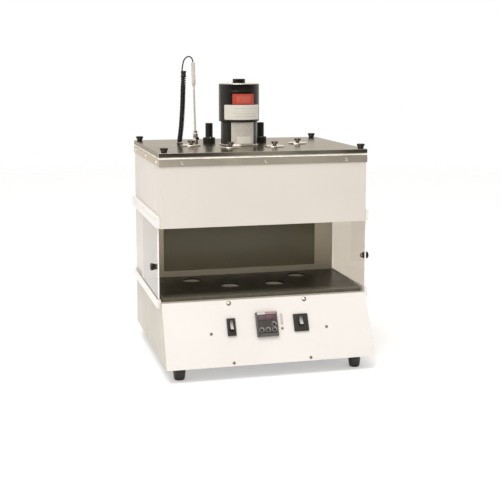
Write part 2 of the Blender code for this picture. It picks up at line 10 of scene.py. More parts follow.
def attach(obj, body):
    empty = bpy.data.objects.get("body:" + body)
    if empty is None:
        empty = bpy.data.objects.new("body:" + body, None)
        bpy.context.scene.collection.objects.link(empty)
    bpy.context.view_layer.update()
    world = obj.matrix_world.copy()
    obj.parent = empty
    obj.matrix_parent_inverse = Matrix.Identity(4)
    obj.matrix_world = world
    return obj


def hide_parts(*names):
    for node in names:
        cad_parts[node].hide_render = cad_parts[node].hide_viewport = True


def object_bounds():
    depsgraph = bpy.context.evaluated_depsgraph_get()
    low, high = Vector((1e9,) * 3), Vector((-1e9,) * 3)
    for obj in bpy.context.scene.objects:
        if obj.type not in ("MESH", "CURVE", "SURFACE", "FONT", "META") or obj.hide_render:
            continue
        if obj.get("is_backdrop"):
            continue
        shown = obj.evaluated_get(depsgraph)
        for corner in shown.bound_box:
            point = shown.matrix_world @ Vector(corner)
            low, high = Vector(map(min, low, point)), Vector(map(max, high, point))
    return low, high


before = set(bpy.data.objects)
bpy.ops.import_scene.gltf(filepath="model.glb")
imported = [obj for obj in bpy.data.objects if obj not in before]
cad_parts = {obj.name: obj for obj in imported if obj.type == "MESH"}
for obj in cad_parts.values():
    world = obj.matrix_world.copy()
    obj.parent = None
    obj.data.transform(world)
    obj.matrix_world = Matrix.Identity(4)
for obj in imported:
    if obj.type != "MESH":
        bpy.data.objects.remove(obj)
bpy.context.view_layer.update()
scene = bpy.context.scene
scene.view_settings.view_transform = "Standard"
scene.view_settings.look = "None"

# ------------------------------------------------------------------- camera
yaw, pitch = math.radians(14.28), math.radians(7.7885)
cam_data = bpy.data.cameras.new("camera")
cam_data.lens, cam_data.sensor_width = 74.142, 36.0
cam_data.shift_y = -0.10
cam_data.clip_start, cam_data.clip_end = 0.05, 60.0
cam = bpy.data.objects.new("camera", cam_data)
cam.location = (-0.522, -2.0872, 0.6135)
cam.rotation_mode = "QUATERNION"
cam.rotation_quaternion = Vector((math.sin(yaw) * math.cos(pitch), math.cos(yaw) * math.cos(pitch), -math.sin(pitch))).to_track_quat("-Z", "Y")
scene.collection.objects.link(cam)
scene.camera = cam

# ------------------------------------------------------------------- sizes, the same as in the CAD
GAP, SHEET = 0.0003, 0.0015
LEG = 0.0055            # all but the feet stand this much above the heights given below
OY = 0.008
BASE_Z0, BASE_Z1, BASE_HW, BACK_Y = 0.0225, 0.1401, 0.2087, 0.1757
SLOPE_Y0, SLOPE_Y1 = -0.2195, -0.1653
SHELF_Z1, COLUMN_Y0 = 0.1466, 0.0468
HOUSING_Z0, HOUSING_Z1, HOUSING_Y0 = 0.2854, 0.4163, -0.1597
LID_TOP, LID_UNDER, LID_SKIRT, LID_HW, LID_HD = 0.4307, 0.4292, 0.4222, 0.2100, 0.1690
TANK_HW, TANK_HD, TANK_FLOOR, FLANGE_TOP = 0.1840, 0.1430, 0.3039, 0.4182
ON_LID = LID_TOP + GAP
TUBES = [(-0.1150, 0.0060), (-0.0465, -0.0587), (0.0465, -0.0587), (0.1150, 0.0060)]
HOLES = [(-0.1160, 0.0060), (-0.0475, -0.0582), (0.0460, -0.0587), (0.1130, 0.0070)]
MOTOR = (-0.0126, 0.0080)
HEATERS = {"left": (-0.0623, 0.0750), "right": (0.0513, 0.0750)}
PROBE, PROBE_LEAN = (-0.0886, 0.0930), 0.0240
CORNERS = {"front_left": (-0.1975, OY - 0.154), "front_right": (0.2010, OY - 0.154),
           "back_left": (-0.1995, OY + 0.155), "back_right": (0.1955, OY + 0.155)}
FEET = {"front_left": (-0.179, -0.186), "front_right": (0.179, -0.186),
        "back_left": (-0.179, 0.146), "back_right": (0.179, 0.146)}
DRAIN = (0.1000, 0.3180)
DOOR_Y0, DOOR_Y1, DOOR_KNOB = -0.1520, 0.0530, {"left": (-0.1320, 0.2075), "right": (-0.1320, 0.2100)}
CONTROLLER = (-0.0048, 0.0767, 0.0440, 0.0488)
KEYS = [(-0.0170, 0.0660), (-0.0040, 0.0660), (0.0090, 0.0660), (0.0090, 0.0765)]
MAINS = (-0.0762, 0.0757, 0.0172, 0.0345)
STIR = (0.0650, 0.0763, 0.0300, 0.0350)
PILOT = (0.0262, 0.0673)


# ------------------------------------------------------------------- shape helpers
def smooth_curve(points, step):
    """Points at an even step along a Catmull-Rom curve through the given points."""
    p = [Vector(q) for q in points]
    p = [2 * p[0] - p[1], *p, 2 * p[-1] - p[-2]]
    fine = []
    for i in range(1, len(p) - 2):
        for k in range(24):
            t = k / 24
            fine.append(0.5 * ((2 * p[i]) + (p[i + 1] - p[i - 1]) * t + (2 * p[i - 1] - 5 * p[i] + 4 * p[i + 1] - p[i + 2]) * t * t
                               + (3 * p[i] - p[i - 1] - 3 * p[i + 1] + p[i + 2]) * t ** 3))
    fine.append(p[-2])
    long = sum((b - a).length for a, b in zip(fine, fine[1:]))
    count = max(2, round(long / step))
    out, walked, want = [fine[0]], 0.0, long / count
    for a, b in zip(fine, fine[1:]):
        d = (b - a).length
        while d and walked + d >= want - 1e-9 and len(out) < count:
            out.append(a + (b - a) * ((want - walked) / d))
            want += long / count
        walked += d
    out.append(fine[-1])
    return out


_t = Vector((0, SLOPE_Y1 - SLOPE_Y0, BASE_Z1 - BASE_Z0)).normalized()
_n = Vector((1, 0, 0)).cross(_t)
PANEL = Matrix.Translation((0, SLOPE_Y0, BASE_Z0)) @ Matrix(((1, _t.x, _n.x), (0, _t.y, _n.y), (0, _t.z, _n.z))).to_4x4()


def slope(inset, z):
    return SLOPE_Y0 + (SLOPE_Y1 - SLOPE_Y0) * (z - BASE_Z0) / (BASE_Z1 - BASE_Z0) + inset


def absorb(bm, other, material_index=None):
    """Adds another bmesh's shape to bm, with its own material index if one is given."""
    if material_index is not None:
        for f in other.faces:
            f.material_index = material_index
    mesh = bpy.data.meshes.new("scratch")
    other.to_mesh(mesh)
    other.free()
    bm.from_mesh(mesh)
    bpy.data.meshes.remove(mesh)
    return bm


def together(*shapes):
    bm = bmesh.new()
    for s in shapes:
        absorb(bm, s)
    return bm


def box(lo, hi, bevel=0.0, segments=3, along=None):
    bm = bmesh.new()
    lo, hi = Vector(lo), Vector(hi)
    bmesh.ops.create_cube(bm, size=1.0, matrix=Matrix.Translation((lo + hi) / 2) @ Matrix.Diagonal((*(hi - lo), 1.0)))
    if bevel:
        edges = [e for e in bm.edges if along is None
                 or abs((e.verts[1].co - e.verts[0].co).normalized()[along]) > 0.99]
        bmesh.ops.bevel(bm, geom=edges, offset=bevel, segments=segments, affect="EDGES", profile=0.5)
    return bm


AXES = {0: Matrix.Rotation(math.pi / 2, 4, "Y"), 1: Matrix.Rotation(-math.pi / 2, 4, "X"), 2: Matrix.Identity(4)}


def rod(at, radius, low, high, axis=2, segments=64, top_radius=None):
    bm = bmesh.new()
    centre = list(at)
    centre.insert(axis, (low + high) / 2)
    bmesh.ops.create_cone(bm, cap_ends=True, cap_tris=False, segments=segments, radius1=radius,
                          radius2=radius if top_radius is None else top_radius, depth=high - low,
                          matrix=Matrix.Translation(centre) @ AXES[axis])
    return bm


def fillet(points, radius, n=4, closed=False):
    """A chain of 2D points with its corners rounded; a radius per corner may be given as a third number."""
    out = []
    count = len(points)
    for i, p in enumerate(points):
        r = p[2] if len(p) > 2 else radius
        if not closed and i in (0, count - 1) or r <= 0:
            out.append((p[0], p[1]))
            continue
        a, b, c = (Vector(points[(i + k) % count][:2]) for k in (-1, 0, 1))
        u, v = a - b, c - b
        lu, lv = u.length, v.length
        if lu < 1e-9 or lv < 1e-9:
            out.append((p[0], p[1]))
            continue
        u, v = u / lu, v / lv
        angle = math.acos(max(-1.0, min(1.0, u.dot(v))))
        if angle > math.radians(172):
            out.append((p[0], p[1]))
            continue
        cut_ = min(r / math.tan(angle / 2), 0.45 * lu, 0.45 * lv)
        for k in range(n + 1):
            t = k / n
            q = (b + u * cut_) * (1 - t) ** 2 + b * 2 * t * (1 - t) + (b + v * cut_) * t ** 2
            out.append((q.x, q.y))
    return out


def spun(profile, at=(0, 0, 0), axis=2, steps=72, closed=False, sign=1, soften=0.0004, n=3, indices=None):
    """A turned shape from (radius, height) points; indices gives each profile stretch's material, by the height and radius of its middle."""
    profile = fillet(profile, soften, n, closed) if soften else [p[:2] for p in profile]
    bm = bmesh.new()
    rings = []
    for r, z in profile:
        if r < 1e-7:
            rings.append([bm.verts.new((0, 0, z))])
        else:
            rings.append([bm.verts.new((r * math.cos(math.tau * k / steps), r * math.sin(math.tau * k / steps), z)) for k in range(steps)])
    pairs = list(zip(range(len(rings)), range(1, len(rings)))) + ([(len(rings) - 1, 0)] if closed else [])
    for i, j in pairs:
        a, b = rings[i], rings[j]
        if len(a) == 1 and len(b) == 1:
            continue
        index = indices((profile[i][0] + profile[j][0]) / 2, (profile[i][1] + profile[j][1]) / 2) if indices else 0
        for k in range(steps):
            m = (k + 1) % steps
            verts = [a[0], b[k], b[m]] if len(a) == 1 else [a[k], a[m], b[0]] if len(b) == 1 else [a[k], a[m], b[m], b[k]]
            f = bm.faces.new(verts)
            f.material_index = index
            f.smooth = True
    bmesh.ops.recalc_face_normals(bm, faces=bm.faces)
    turn = {0: Matrix.Rotation(sign * math.pi / 2, 4, "Y"), 1: Matrix.Rotation(-sign * math.pi / 2, 4, "X"), 2: Matrix.Identity(4)}[axis]
    bm.transform(Matrix.Translation(at) @ turn)
    return bm


def plate(points, low, high, axis, soften=0.0, n=4):
    """A flat outline, in the other two coordinates in X, Y, Z order, extruded along one axis."""
    if soften:
        points = fillet(points, soften, n, True)
    bm = bmesh.new()
    def place(a, b, c):
        v = [a, b]
        v.insert(axis, c)
        return v
    bottom = [bm.verts.new(place(*p[:2], low)) for p in points]
    top = [bm.verts.new(place(*p[:2], high)) for p in points]
    bm.faces.new(bottom)
    bm.faces.new(list(reversed(top)))
    for i in range(len(points)):
        j = (i + 1) % len(points)
        bm.faces.new([bottom[j], bottom[i], top[i], top[j]])
    bmesh.ops.recalc_face_normals(bm, faces=bm.faces)
    return bm


def solid_op(bm, tool, operation):
    """An exact Boolean between two bmeshes, as a new bmesh."""
    objects = []
    for b in (bm, tool):
        bmesh.ops.recalc_face_normals(b, faces=b.faces)
        mesh = bpy.data.meshes.new("scratch")
        b.to_mesh(mesh)
        b.free()
        o = bpy.data.objects.new("scratch", mesh)
        scene.collection.objects.link(o)
        objects.append(o)
    m = objects[0].modifiers.new("b", "BOOLEAN")
    m.object, m.operation, m.solver = objects[1], operation, "EXACT"
    dg = bpy.context.evaluated_depsgraph_get()
    dg.update()
    mesh = bpy.data.meshes.new_from_object(objects[0].evaluated_get(dg))
    out = bmesh.new()
    out.from_mesh(mesh)
    bpy.data.meshes.remove(mesh)
    for o in objects:
        data = o.data
        bpy.data.objects.remove(o, do_unlink=True)
        bpy.data.meshes.remove(data)
    bmesh.ops.remove_doubles(out, verts=out.verts, dist=1e-6)
    bmesh.ops.dissolve_limit(out, angle_limit=math.radians(0.5), verts=out.verts, edges=out.edges, delimit={"MATERIAL"})
    return out


def cut(bm, *tools):
    for t in tools:
        bm = solid_op(bm, t, "DIFFERENCE")
    return bm


def join(bm, *tools):
    for t in tools:
        bm = solid_op(bm, t, "UNION")
    return bm


def piece(name, bm, mats, body, replaces=(), bevel=0.0, segments=3, angle=32, sharp=35, matrix=None, choose=None, lift=LEG):
    """A shown piece: its mesh, materials, the body that it rides on and the CAD nodes that it stands for."""
    if matrix is not None:
        bm.transform(matrix)
    bm.transform(Matrix.Translation((0, 0, lift)))
    bmesh.ops.recalc_face_normals(bm, faces=bm.faces)
    mesh = bpy.data.meshes.new(name)
    bm.to_mesh(mesh)
    bm.free()
    for m in mats if isinstance(mats, (list, tuple)) else [mats]:
        mesh.materials.append(m)
    o = bpy.data.objects.new(name, mesh)
    scene.collection.objects.link(o)
    mesh.shade_smooth()
    if choose:
        for p in mesh.polygons:
            p.material_index = choose(p.center, p.normal)
    if bevel:
        m = o.modifiers.new("edges", "BEVEL")
        m.width, m.segments, m.limit_method, m.angle_limit = bevel, segments, "ANGLE", math.radians(angle)
        m.harden_normals, m.use_clamp_overlap, m.miter_outer = True, True, "MITER_ARC"
    else:
        mesh.set_sharp_from_angle(angle=math.radians(sharp))
    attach(o, body)
    if replaces:
        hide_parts(*([replaces] if isinstance(replaces, str) else replaces))
    return o


# ------------------------------------------------------------------- material helpers
class Mat:
    """A Principled material with a few short-hands for procedural detail, all in the piece's own metres."""

    def __init__(self, name, colour, roughness=0.5, metallic=0.0, **sockets):
        self.m = bpy.data.materials.new(name)
        self.m.use_nodes = True
        self.t = self.m.node_tree
        self.b = self.t.nodes["Principled BSDF"]
        self.b.inputs["Base Color"].default_value = (*colour, 1)
        self.b.inputs["Roughness"].default_value = roughness
        self.b.inputs["Metallic"].default_value = metallic
        for k, v in sockets.items():
            self.b.inputs[k.replace("_", " ")].default_value = v
        self.colour, self.m.diffuse_color = colour, (*colour, 1)
        self.tc = self.t.nodes.new("ShaderNodeTexCoord")
        self.normal = None

    def new(self, kind, **values):
        node = self.t.nodes.new(kind)
        for k, v in values.items():
            setattr(node, k, v)
        return node

    def link(self, a, b):
        self.t.links.new(a, b)

    def where(self, scale=(1, 1, 1), rotation=(0, 0, 0), location=(0, 0, 0)):
        m = self.new("ShaderNodeMapping")
        self.link(self.tc.outputs["Object"], m.inputs["Vector"])
        m.inputs["Scale"].default_value = scale
        m.inputs["Rotation"].default_value = rotation
        m.inputs["Location"].default_value = location
        return m.outputs["Vector"]

    def noise(self, scale, detail=3.0, rough=0.5, stretch=(1, 1, 1), distortion=0.0, rotation=(0, 0, 0), location=(0, 0, 0)):
        n = self.new("ShaderNodeTexNoise")
        n.inputs["Scale"].default_value = scale
        n.inputs["Detail"].default_value = detail
        n.inputs["Roughness"].default_value = rough
        n.inputs["Distortion"].default_value = distortion
        self.link(self.where(stretch, rotation, location), n.inputs["Vector"])
        return n.outputs["Fac"]

    def cells(self, scale, stretch=(1, 1, 1), feature="F1", out="Distance"):
        n = self.new("ShaderNodeTexVoronoi", feature=feature)
        n.inputs["Scale"].default_value = scale
        self.link(self.where(stretch), n.inputs["Vector"])
        return n.outputs[out]

    def span(self, value, a, b, low, high):
        m = self.new("ShaderNodeMapRange")
        self.link(value, m.inputs["Value"])
        for k, v in (("From Min", a), ("From Max", b), ("To Min", low), ("To Max", high)):
            m.inputs[k].default_value = v
        return m.outputs["Result"]

    def blend(self, factor, a, b, into="Base Color"):
        m = self.new("ShaderNodeMix", data_type="RGBA")
        self.link(factor, m.inputs["Factor"])
        for k, v in ((6, a), (7, b)):
            if hasattr(v, "is_linked"):
                self.link(v, m.inputs[k])
            else:
                m.inputs[k].default_value = (*v, 1)
        if into:
            self.link(m.outputs[2], self.b.inputs[into])
        return m.outputs[2]

    def math(self, op, a, b=None):
        m = self.new("ShaderNodeMath", operation=op)
        for k, v in ((0, a), (1, b)):
            if v is None:
                continue
            if hasattr(v, "is_linked"):
                self.link(v, m.inputs[k])
            else:
                m.inputs[k].default_value = v
        return m.outputs[0]

    def roughness(self, value, a=0.3, b=0.7, low=0.3, high=0.4):
        self.link(self.span(value, a, b, low, high), self.b.inputs["Roughness"])
        return self

    def bump(self, height, strength=0.1, distance=0.0005):
        n = self.new("ShaderNodeBump")
        n.inputs["Strength"].default_value = strength
        n.inputs["Distance"].default_value = distance
        self.link(height, n.inputs["Height"])
        if self.normal is not None:
            self.link(self.normal, n.inputs["Normal"])
        self.normal = n.outputs["Normal"]
        for link in list(self.b.inputs["Normal"].links):
            self.t.links.remove(link)
        self.link(self.normal, self.b.inputs["Normal"])
        return self


def tint(c, k):
    return tuple(min(1.0, x * k) for x in c)


def powder_coat(name, colour):
    m = Mat(name, colour, 0.34)
    cloud = m.noise(4.0, 4, 0.6)
    m.blend(m.span(cloud, 0.35, 0.65, 0, 1), tint(colour, 0.965), tint(colour, 1.015))
    m.roughness(m.noise(11, 5, 0.65), 0.3, 0.7, 0.27, 0.42)
    m.bump(m.noise(520, 2, 0.5), 0.09, 0.0004)
    m.bump(m.noise(2100, 2, 0.5), 0.04, 0.0002)
    return m.m


def steel(name, colour, low, high, grain=(1, 1, 1), strength=0.05, smear=0.10, edge=1.0):
    """Stainless steel: fine grain drawn along the short way of grain's stretch, with smears in its gloss."""
    m = Mat(name, colour, low, 1.0)
    m.b.inputs["Specular Tint"].default_value = (edge, edge * 0.97, edge * 0.90, 1)
    lines = m.noise(900, 3, 0.55, grain)
    smears = m.noise(7, 5, 0.62, distortion=0.6)
    rough = m.math("ADD", m.span(lines, 0.3, 0.7, low, high), m.span(smears, 0.35, 0.75, 0.0, smear))
    m.link(rough, m.b.inputs["Roughness"])
    m.blend(m.span(m.math("ADD", lines, smears), 0.7, 1.3, 0, 1), tint(colour, 0.93), tint(colour, 1.05))
    m.bump(lines, strength, 0.0002)
    return m.m


def moulded(name, colour, low=0.30, high=0.45, grain=900, strength=0.08, **sockets):
    m = Mat(name, colour, (low + high) / 2, 0.0, **sockets)
    cloud = m.noise(60, 4, 0.6)
    m.blend(m.span(cloud, 0.3, 0.7, 0, 1), tint(colour, 0.85), tint(colour, 1.18))
    m.roughness(m.noise(140, 4, 0.6), 0.3, 0.7, low, high)
    m.bump(m.noise(grain, 2, 0.5), strength, 0.0002)
    return m.m


WHITE = powder_coat("white_powder_coat", (0.645, 0.595, 0.545))
# painted light: the front panel wears the same white paint as the housing, set lighter here because its upward-sloping
# face catches more light
LIT_PANEL_WHITE = powder_coat("panel_powder_coat_painted_light", (0.72, 0.69, 0.655))
RAIL_WHITE = powder_coat("rail_enamel", (0.78, 0.755, 0.725))
# painted shade: the base is the same white paint set darker and warmer, standing for the shade on its lower sides and
# back
SHADED_BASE_WHITE = powder_coat("base_powder_coat_painted_shade", (0.465, 0.420, 0.352))
LID_STEEL = steel("polished_lid_steel", (0.46, 0.42, 0.36), 0.15, 0.22, (0.02, 1, 1), 0.02, 0.06, 0.60)
SKIRT_STEEL = steel("lid_skirt_steel", (0.58, 0.53, 0.445), 0.05, 0.09, (0.02, 1, 1), 0.02, 0.04, 0.5)
BAND_STEEL = steel("rim_band_steel", (0.55, 0.495, 0.41), 0.30, 0.42, (0.02, 1, 1), 0.06, 0.10)
TANK_STEEL = steel("tank_steel", (0.56, 0.54, 0.50), 0.22, 0.34, (1, 1, 0.02), 0.05, 0.12)
BRIGHT_STEEL = steel("bright_steel", (0.74, 0.71, 0.66), 0.18, 0.28, (1, 1, 0.05), 0.03, 0.08)
PROBE_STEEL = steel("probe_steel", (0.80, 0.72, 0.66), 0.42, 0.50, (1, 1, 0.03), 0.004, 0.05)
PROBE_STEEL.node_tree.nodes["Principled BSDF"].inputs["Metallic"].default_value = 0.55
PLATE_STEEL = steel("compartment_steel", (0.66, 0.60, 0.475), 0.42, 0.55, (0.02, 1, 1), 0.05, 0.12)
PLATE_STEEL.node_tree.nodes["Principled BSDF"].inputs["Metallic"].default_value = 0.45
CHROME = steel("cap_disc_steel", (0.70, 0.66, 0.60), 0.14, 0.22, (1, 1, 1), 0.01, 0.05)
PROBE_GRIP = moulded("probe_grip", (0.60, 0.53, 0.485), 0.34, 0.42, 700, 0.01)
SCREW_STEEL = steel("screw_steel", (0.26, 0.245, 0.215), 0.25, 0.38, (1, 1, 1), 0.05, 0.08)
KNOB_BLACK = moulded("black_knob_plastic", (0.008, 0.007, 0.0055), 0.20, 0.34, 1200, 0.05, Specular_IOR_Level=0.35)
KEY_BLACK = moulded("key_plastic", (0.012, 0.011, 0.010), 0.08, 0.16, 1600, 0.02)
CAP_KNOB = moulded("tube_cap_plastic", (0.040, 0.024, 0.019), 0.20, 0.34, 1200, 0.05)
MOTOR_BLACK = moulded("motor_enamel", (0.0062, 0.0050, 0.0036), 0.20, 0.30, 700, 0.10, Specular_IOR_Level=0.34)
CAP_BLACK = moulded("heater_cap_plastic", (0.008, 0.0072, 0.0058), 0.34, 0.48, 800, 0.12, Specular_IOR_Level=0.35)
BEZEL_BLACK = moulded("switch_plastic", (0.024, 0.020, 0.016), 0.36, 0.52, 1500, 0.16, Specular_IOR_Level=0.40)
CONTROL_GREY = moulded("controller_plastic", (0.085, 0.080, 0.069), 0.26, 0.40, 1800, 0.10)
CONTROL_DARK = moulded("controller_face_plastic", (0.048, 0.044, 0.037), 0.26, 0.40, 1800, 0.10)
RUBBER = moulded("foot_rubber", (0.009, 0.008, 0.0062), 0.30, 0.42, 600, 0.12)
JACKET = moulded("cable_jacket", (0.006, 0.0055, 0.0048), 0.34, 0.46, 1600, 0.10, Specular_IOR_Level=0.24)
SLEEVE = moulded("cable_sleeve", (0.009, 0.008, 0.007), 0.45, 0.60, 1400, 0.15, Specular_IOR_Level=0.35)


def rocker_plastic():
    """Rocker plastic, darker at its top end: painted shade, for the top end that sits pressed in and shaded."""
    m = Mat("rocker_plastic", (0.42, 0.405, 0.38), 0.28)
    height = m.new("ShaderNodeSeparateXYZ")
    m.link(m.tc.outputs["Object"], height.inputs[0])
    middle = (PANEL @ Vector((0, 0.0785, 0.004))).z + LEG
    # painted shade: the colour darkens towards the rocker's top end; a little noise adds random tone
    top_shade_and_tone = m.math("ADD", m.span(height.outputs["Z"], middle + 0.0075, middle - 0.0045, 0, 0.9), m.span(m.noise(160, 3, 0.6), 0.3, 0.7, 0, 0.1))
    m.blend(top_shade_and_tone, (0.085, 0.079, 0.070), (0.56, 0.545, 0.515))
    m.roughness(m.noise(140, 4, 0.6), 0.3, 0.7, 0.22, 0.34)
    m.bump(m.noise(1200, 2, 0.5), 0.05, 0.0002)
    return m.m


ROCKER = rocker_plastic()
SILICONE = moulded("silicone_gasket", (0.84, 0.80, 0.72), 0.45, 0.60, 500, 0.20, Subsurface_Weight=0.0)


def shelf_board():
    m = Mat("black_shelf_board", (0.012, 0.010, 0.007), 0.34, Specular_IOR_Level=0.42)
    place = m.new("ShaderNodeSeparateXYZ")
    m.link(m.tc.outputs["Object"], place.inputs[0])
    # painted sheen: the top is lighter towards the front edge, where light comes into the compartment, broken up by
    # noise
    front_sheen = m.math("MULTIPLY", m.span(place.outputs["Y"], -0.115, -0.150, 0, 1), m.span(m.noise(25, 4, 0.6, (0.3, 1, 1)), 0.25, 0.75, 0.55, 1.0))
    m.blend(m.math("ADD", m.math("MULTIPLY", m.span(m.noise(6, 5, 0.6), 0.35, 0.7, 0, 1), 0.12), m.math("MULTIPLY", front_sheen, 0.85)), (0.0085, 0.0070, 0.0048), (0.150, 0.137, 0.104))
    scratch = m.noise(300, 2, 0.4, (1, 0.03, 1), 0.4, (0, 0, 0.35))
    dust = m.noise(1500, 2, 0.4)
    m.link(m.math("ADD", m.span(m.noise(14, 5, 0.65), 0.3, 0.7, 0.27, 0.38), m.span(scratch, 0.62, 0.75, 0, 0.10)), m.b.inputs["Roughness"])
    m.bump(dust, 0.05, 0.0002)
    m.bump(scratch, 0.03, 0.0001)
    return m.m


def shelf_edge():
    m = Mat("shelf_board_edge", (0.06, 0.055, 0.043), 0.50, Specular_IOR_Level=0.30)
    m.blend(m.span(m.noise(160, 4, 0.6), 0.3, 0.7, 0, 1), (0.075, 0.068, 0.052), (0.125, 0.115, 0.092))
    m.bump(m.noise(900, 3, 0.6), 0.15, 0.0003)
    return m.m


def opal():
    # painted shade: the diffuser's dark colour and its darkening towards the top stand for the shadow of the housing
    # above; the noise adds random tone
    m = Mat("opal_diffuser", (0.14, 0.125, 0.09), 0.42)
    height = m.new("ShaderNodeSeparateXYZ")
    m.link(m.tc.outputs["Object"], height.inputs[0])
    shade_and_tone = m.math("ADD", m.span(height.outputs["Z"], 0.275, 0.16, 0, 0.85), m.span(m.noise(5, 4, 0.6), 0.3, 0.7, 0, 0.15))
    m.blend(shade_and_tone, (0.125, 0.113, 0.062), (0.205, 0.185, 0.120))
    m.roughness(m.noise(9, 4, 0.6), 0.3, 0.7, 0.30, 0.45)
    m.bump(m.noise(1300, 2, 0.5), 0.06, 0.0002)
    return m.m


def acrylic():
    # painted shade: the warm base colour tints the clear sheet darker, standing for the shade of the compartment behind
    # the doors
    m = Mat("clear_acrylic", (0.68, 0.62, 0.54), 0.03, 0.0, Transmission_Weight=1.0, IOR=1.49, Specular_IOR_Level=0.28)
    m.roughness(m.noise(18, 5, 0.65, distortion=0.5), 0.45, 0.8, 0.015, 0.085)
    return m.m


def acrylic_edge():
    m = Mat("acrylic_cut_edge", (0.90, 0.88, 0.84), 0.38, 0.0, Transmission_Weight=0.05, IOR=1.49)
    m.blend(m.span(m.noise(500, 3, 0.6, (1, 1, 0.1)), 0.3, 0.7, 0, 1), (0.88, 0.86, 0.82), (0.94, 0.925, 0.89))
    m.bump(m.noise(900, 3, 0.6, (1, 1, 0.15)), 0.15, 0.0002)
    return m.m


def brass():
    m = Mat("turned_brass", (0.70, 0.49, 0.22), 0.26, 1.0)
    rings = m.noise(1400, 2, 0.5, (0.04, 0.04, 1))
    m.blend(m.span(m.noise(45, 5, 0.62), 0.35, 0.7, 0, 1), (0.72, 0.51, 0.235), (0.50, 0.33, 0.15))
    m.roughness(rings, 0.3, 0.7, 0.20, 0.38)
    m.bump(rings, 0.08, 0.0002)
    return m.m


def zinc():
    m = Mat("zinc_plated_sheet", (0.58, 0.58, 0.57), 0.40, 1.0)
    m.blend(m.span(m.cells(70, out="Color"), 0.0, 1.0, 0, 1), (0.46, 0.47, 0.475), (0.68, 0.68, 0.66))
    m.roughness(m.noise(60, 4, 0.6), 0.3, 0.7, 0.32, 0.50)
    m.bump(m.noise(700, 3, 0.5), 0.05, 0.0002)
    return m.m


def wool():
    m = Mat("mineral_wool", (0.50, 0.40, 0.24), 0.95, 0.0)
    fibre = m.noise(420, 5, 0.7, (1, 0.18, 1), 1.2)
    m.blend(m.span(fibre, 0.35, 0.65, 0, 1), (0.36, 0.28, 0.155), (0.62, 0.52, 0.34))
    m.bump(fibre, 0.7, 0.0012)
    return m.m


def lens():
    m = Mat("display_window", (0.05, 0.018, 0.024), 0.10, 0.0, Coat_Weight=0.6, Coat_Roughness=0.06)
    z = m.new("ShaderNodeSeparateXYZ")
    m.link(m.tc.outputs["Object"], z.inputs[0])
    m.blend(m.span(m.noise(90, 3, 0.6), 0.35, 0.65, 0, 1), (0.060, 0.034, 0.042), (0.115, 0.072, 0.088))
    m.roughness(m.noise(220, 3, 0.6), 0.3, 0.7, 0.08, 0.20)
    return m.m


def printed(name, colour, other, scale=220, rough=0.36):
    """A plain printed plate: two close inks in soft patches and a satin face."""
    m = Mat(name, colour, rough)
    m.blend(m.span(m.noise(scale, 4, 0.6), 0.35, 0.65, 0, 1), colour, other)
    m.roughness(m.noise(260, 3, 0.6), 0.3, 0.7, rough - 0.08, rough + 0.08)
    m.bump(m.noise(1500, 2, 0.5), 0.04, 0.0001)
    return m.m


def lamp_glass():
    m = Mat("lamp_phosphor_glass", (0.86, 0.86, 0.84), 0.18)
    m.blend(m.span(m.noise(30, 4, 0.6), 0.35, 0.65, 0, 1), (0.80, 0.80, 0.785), (0.90, 0.90, 0.885))
    m.roughness(m.noise(50, 3, 0.5), 0.3, 0.7, 0.12, 0.24)
    return m.m


SHELF, SHELF_EDGE, OPAL, ACRYLIC, ACRYLIC_EDGE = shelf_board(), shelf_edge(), opal(), acrylic(), acrylic_edge()
BRASS, ZINC, WOOL, LENS, LAMP = brass(), zinc(), wool(), lens(), lamp_glass()
LABEL_WHITE = printed("white_label", (0.64, 0.615, 0.56), (0.58, 0.56, 0.505))
LABEL_SILVER = printed("silver_label", (0.45, 0.415, 0.37), (0.52, 0.485, 0.44))
LABEL_RED = printed("red_label", (0.36, 0.032, 0.018), (0.46, 0.060, 0.034))
LABEL_ORANGE = printed("orange_ink", (0.50, 0.105, 0.064), (0.44, 0.078, 0.046), 220)
LABEL_PINK = printed("pink_strip", (0.47, 0.385, 0.37), (0.54, 0.46, 0.445))
LABEL_GREY = printed("grey_ink", (0.30, 0.28, 0.25), (0.36, 0.34, 0.30))
STRIP_PALE = printed("pale_strip", (0.52, 0.48, 0.46), (0.60, 0.57, 0.545))
KEY_RING = printed("key_ring", (0.20, 0.19, 0.17), (0.27, 0.255, 0.23))
STRIP_RED = printed("red_strip", (0.34, 0.185, 0.185), (0.40, 0.235, 0.23))
PILOT_LENS = printed("pilot_lens", (0.22, 0.135, 0.12), (0.28, 0.18, 0.165), 400, 0.22)

# ------------------------------------------------------------------- the probe's lead: the cord
COIL = [(-0.1301, 0.0540, 0.4315), (-0.1299, 0.0542, 0.4400), (-0.1257, 0.0580, 0.4679), (-0.1222, 0.0630, 0.5035), (-0.1201, 0.0660, 0.5391), (-0.1186, 0.0682, 0.5663), (-0.1178, 0.0690, 0.5838)]
LEAD = [(-0.1208, 0.0688, 0.5842), (-0.1205, 0.0692, 0.5900), (-0.1170, 0.0722, 0.6040), (-0.1106, 0.0775, 0.6112), (-0.1040, 0.0830, 0.61352), (-0.0975, 0.0885, 0.6112),
        (-0.0938, 0.0920, 0.6055), (-0.0929, 0.0930, 0.6020)]
WIRE = 0.0028
axis_line = [p for p in smooth_curve(COIL, 0.0005) if 0.4338 <= p.z <= 0.5815]


